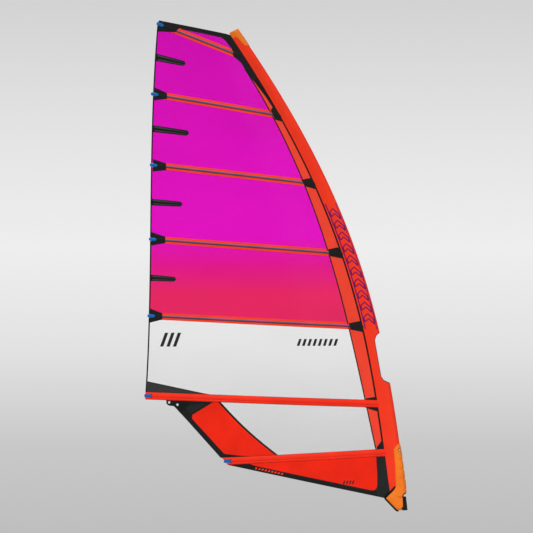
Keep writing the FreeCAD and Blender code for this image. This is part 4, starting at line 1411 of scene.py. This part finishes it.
def sewing():
    """Zigzag rows beside the seams, on both faces."""
    back = lambda z: leech_edge(z) + LEECH_TAPE * 0.62
    tape_row = lambda z: strip_back(z) - LUFF_TAPE * 0.5
    stitches("leech_stitching", [run(back, 1.09, 4.36, 0.1)], "thread", 0.0020)
    stitches("luff_stitching", [run(tape_row, 0.60, 3.90, 0.1)], "thread", 0.0019)
    rows = []
    for number in range(1, 6):
        batten = battens[number]
        ends = CAP_LENGTH, batten.station(film_front(BATTENS[number - 1][3])) - 0.02
        for rise in both(0.0235):
            rows.append([tuple(batten.at(end, rise)) for end in ends])
    stitches("pocket_stitching", rows, "orange_thread", 0.0016)
    rows = [[on(line(*seam, lift=lift), aft), on(line(*seam, lift=lift), fore)] for seam, lift, aft, fore in
            ((FOOT_LINE, 0.036, -1.30, -0.30), (CLEW_LINE, 0.036, -1.90, -1.68),
             (HEAD_LINE, -0.034, -2.05, -1.72))]
    stitches("band_stitching", rows, "thread", 0.0018)


# ---------------------------------------------------------------- frame nodes, light and camera

def frame_finishes():
    """New finishes for the hard parts of the frame that stay in view."""
    looks = {"batten_": "rod", "minor_battens": "rod", "camber_": "plastic", "mast_tip_cup": "plastic",
             "pulley_block": "plastic", "pulley_axle": "steel", "pulley_hanger": "webbing",
             "sheave_": "plastic", "zip_slider": "steel"}
    for name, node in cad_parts.items():
        for start, look in looks.items():
            if name.startswith(start) and not node.hide_render:
                node.data.materials.clear()
                node.data.materials.append(LOOK[look])


LENS = 200
CAMERA_AT = (-1.2465, -26.65, 2.1825)
FLOOR_AT = (-1.15, 0.0, -0.95)
FLOOR_RADIUS = 5.5
BACKDROP = [(0.05, 190), (0.20, 200), (0.36, 226), (0.53, 238), (0.70, 229), (0.95, 210)]


def studio():
    """Pale surroundings that darken softly upwards and downwards, three soft lights and a floor."""
    scene = bpy.context.scene
    scene.view_settings.view_transform = "Standard"
    world = bpy.data.worlds.new("studio")
    world.use_nodes = True
    scene.world = world
    nodes = Nodes(world.node_tree)
    where = nodes.add("ShaderNodeTexCoord").outputs["Generated"]
    height = nodes.add("ShaderNodeSeparateXYZ", {0: where}).outputs["Z"]
    spread = nodes.add("ShaderNodeMapRange", {"Value": height, "From Min": -0.1, "From Max": 0.1}).outputs[0]
    bounce = nodes.add("ShaderNodeLightPath").outputs["Is Diffuse Ray"]
    dim = nodes.add("ShaderNodeMapRange", {"Value": bounce, "To Min": 1.0, "To Max": 0.5}).outputs[0]
    background = world.node_tree.nodes["Background"]
    nodes.put(background, "Color", nodes.ramp(spread, *[(place, screen(v, v, v)) for place, v in BACKDROP]))
    nodes.put(background, "Strength", dim)
    light("key", (-0.35, -1.0, 0.9), 2.0, 35)
    light("fill", (0.8, -1.0, 0.1), 0.3, 60)
    light("back", (0.5, 1.0, 0.8), 1.0, 45)
    mesh = bmesh.new()
    bmesh.ops.create_circle(mesh, cap_ends=True, segments=96, radius=FLOOR_RADIUS)
    data = bpy.data.meshes.new("floor")
    mesh.to_mesh(data)
    mesh.free()
    finish = Finish("floor")
    finish.shade(Base_Color=finish.ramp(finish.noise(2.0), (0.3, 0.70), (0.7, 0.74)), Roughness=0.9)
    data.materials.append(finish.material)
    floor = bpy.data.objects.new("floor", data)
    floor.location = FLOOR_AT
    scene.collection.objects.link(floor)


def light(name, source, strength, spread):
    """A far soft light that shines from a direction; spread is its size in degrees."""
    data = bpy.data.lights.new(name, "SUN")
    data.energy = strength
    data.angle = math.radians(spread)
    lamp = bpy.data.objects.new(name, data)
    lamp.rotation_euler = Vector(source).to_track_quat("Z", "Y").to_euler()
    bpy.context.scene.collection.objects.link(lamp)


def camera():
    """A long lens, square-on to the starboard side."""
    data = bpy.data.cameras.new("camera")
    data.lens = LENS
    data.sensor_width = 36
    made = bpy.data.objects.new("camera", data)
    made.location = CAMERA_AT
    made.rotation_euler = (math.radians(90), 0, 0)
    bpy.context.scene.collection.objects.link(made)
    bpy.context.scene.camera = made


camera()
studio()
film_panels()
luff_strips()
seam_cloths()
head_cloths()
foot_cloths()
clew_cloths()
for number in range(1, 6):
    front = battens[number].station(meet(line(*BATTENS[number - 1]), film_front)[0]) if number > 1 else None
    flat_pocket(battens[number], (front or battens[1].station(-1.550)) + 0.035)
for number in (6, 7):
    tube_pocket(battens[number])
end_patches()
minor_pockets()
batten_tips()
sleeve()
head_cap()
mast_pad()
fairing()
eyelets()
marks()
sewing()
frame_finishes()
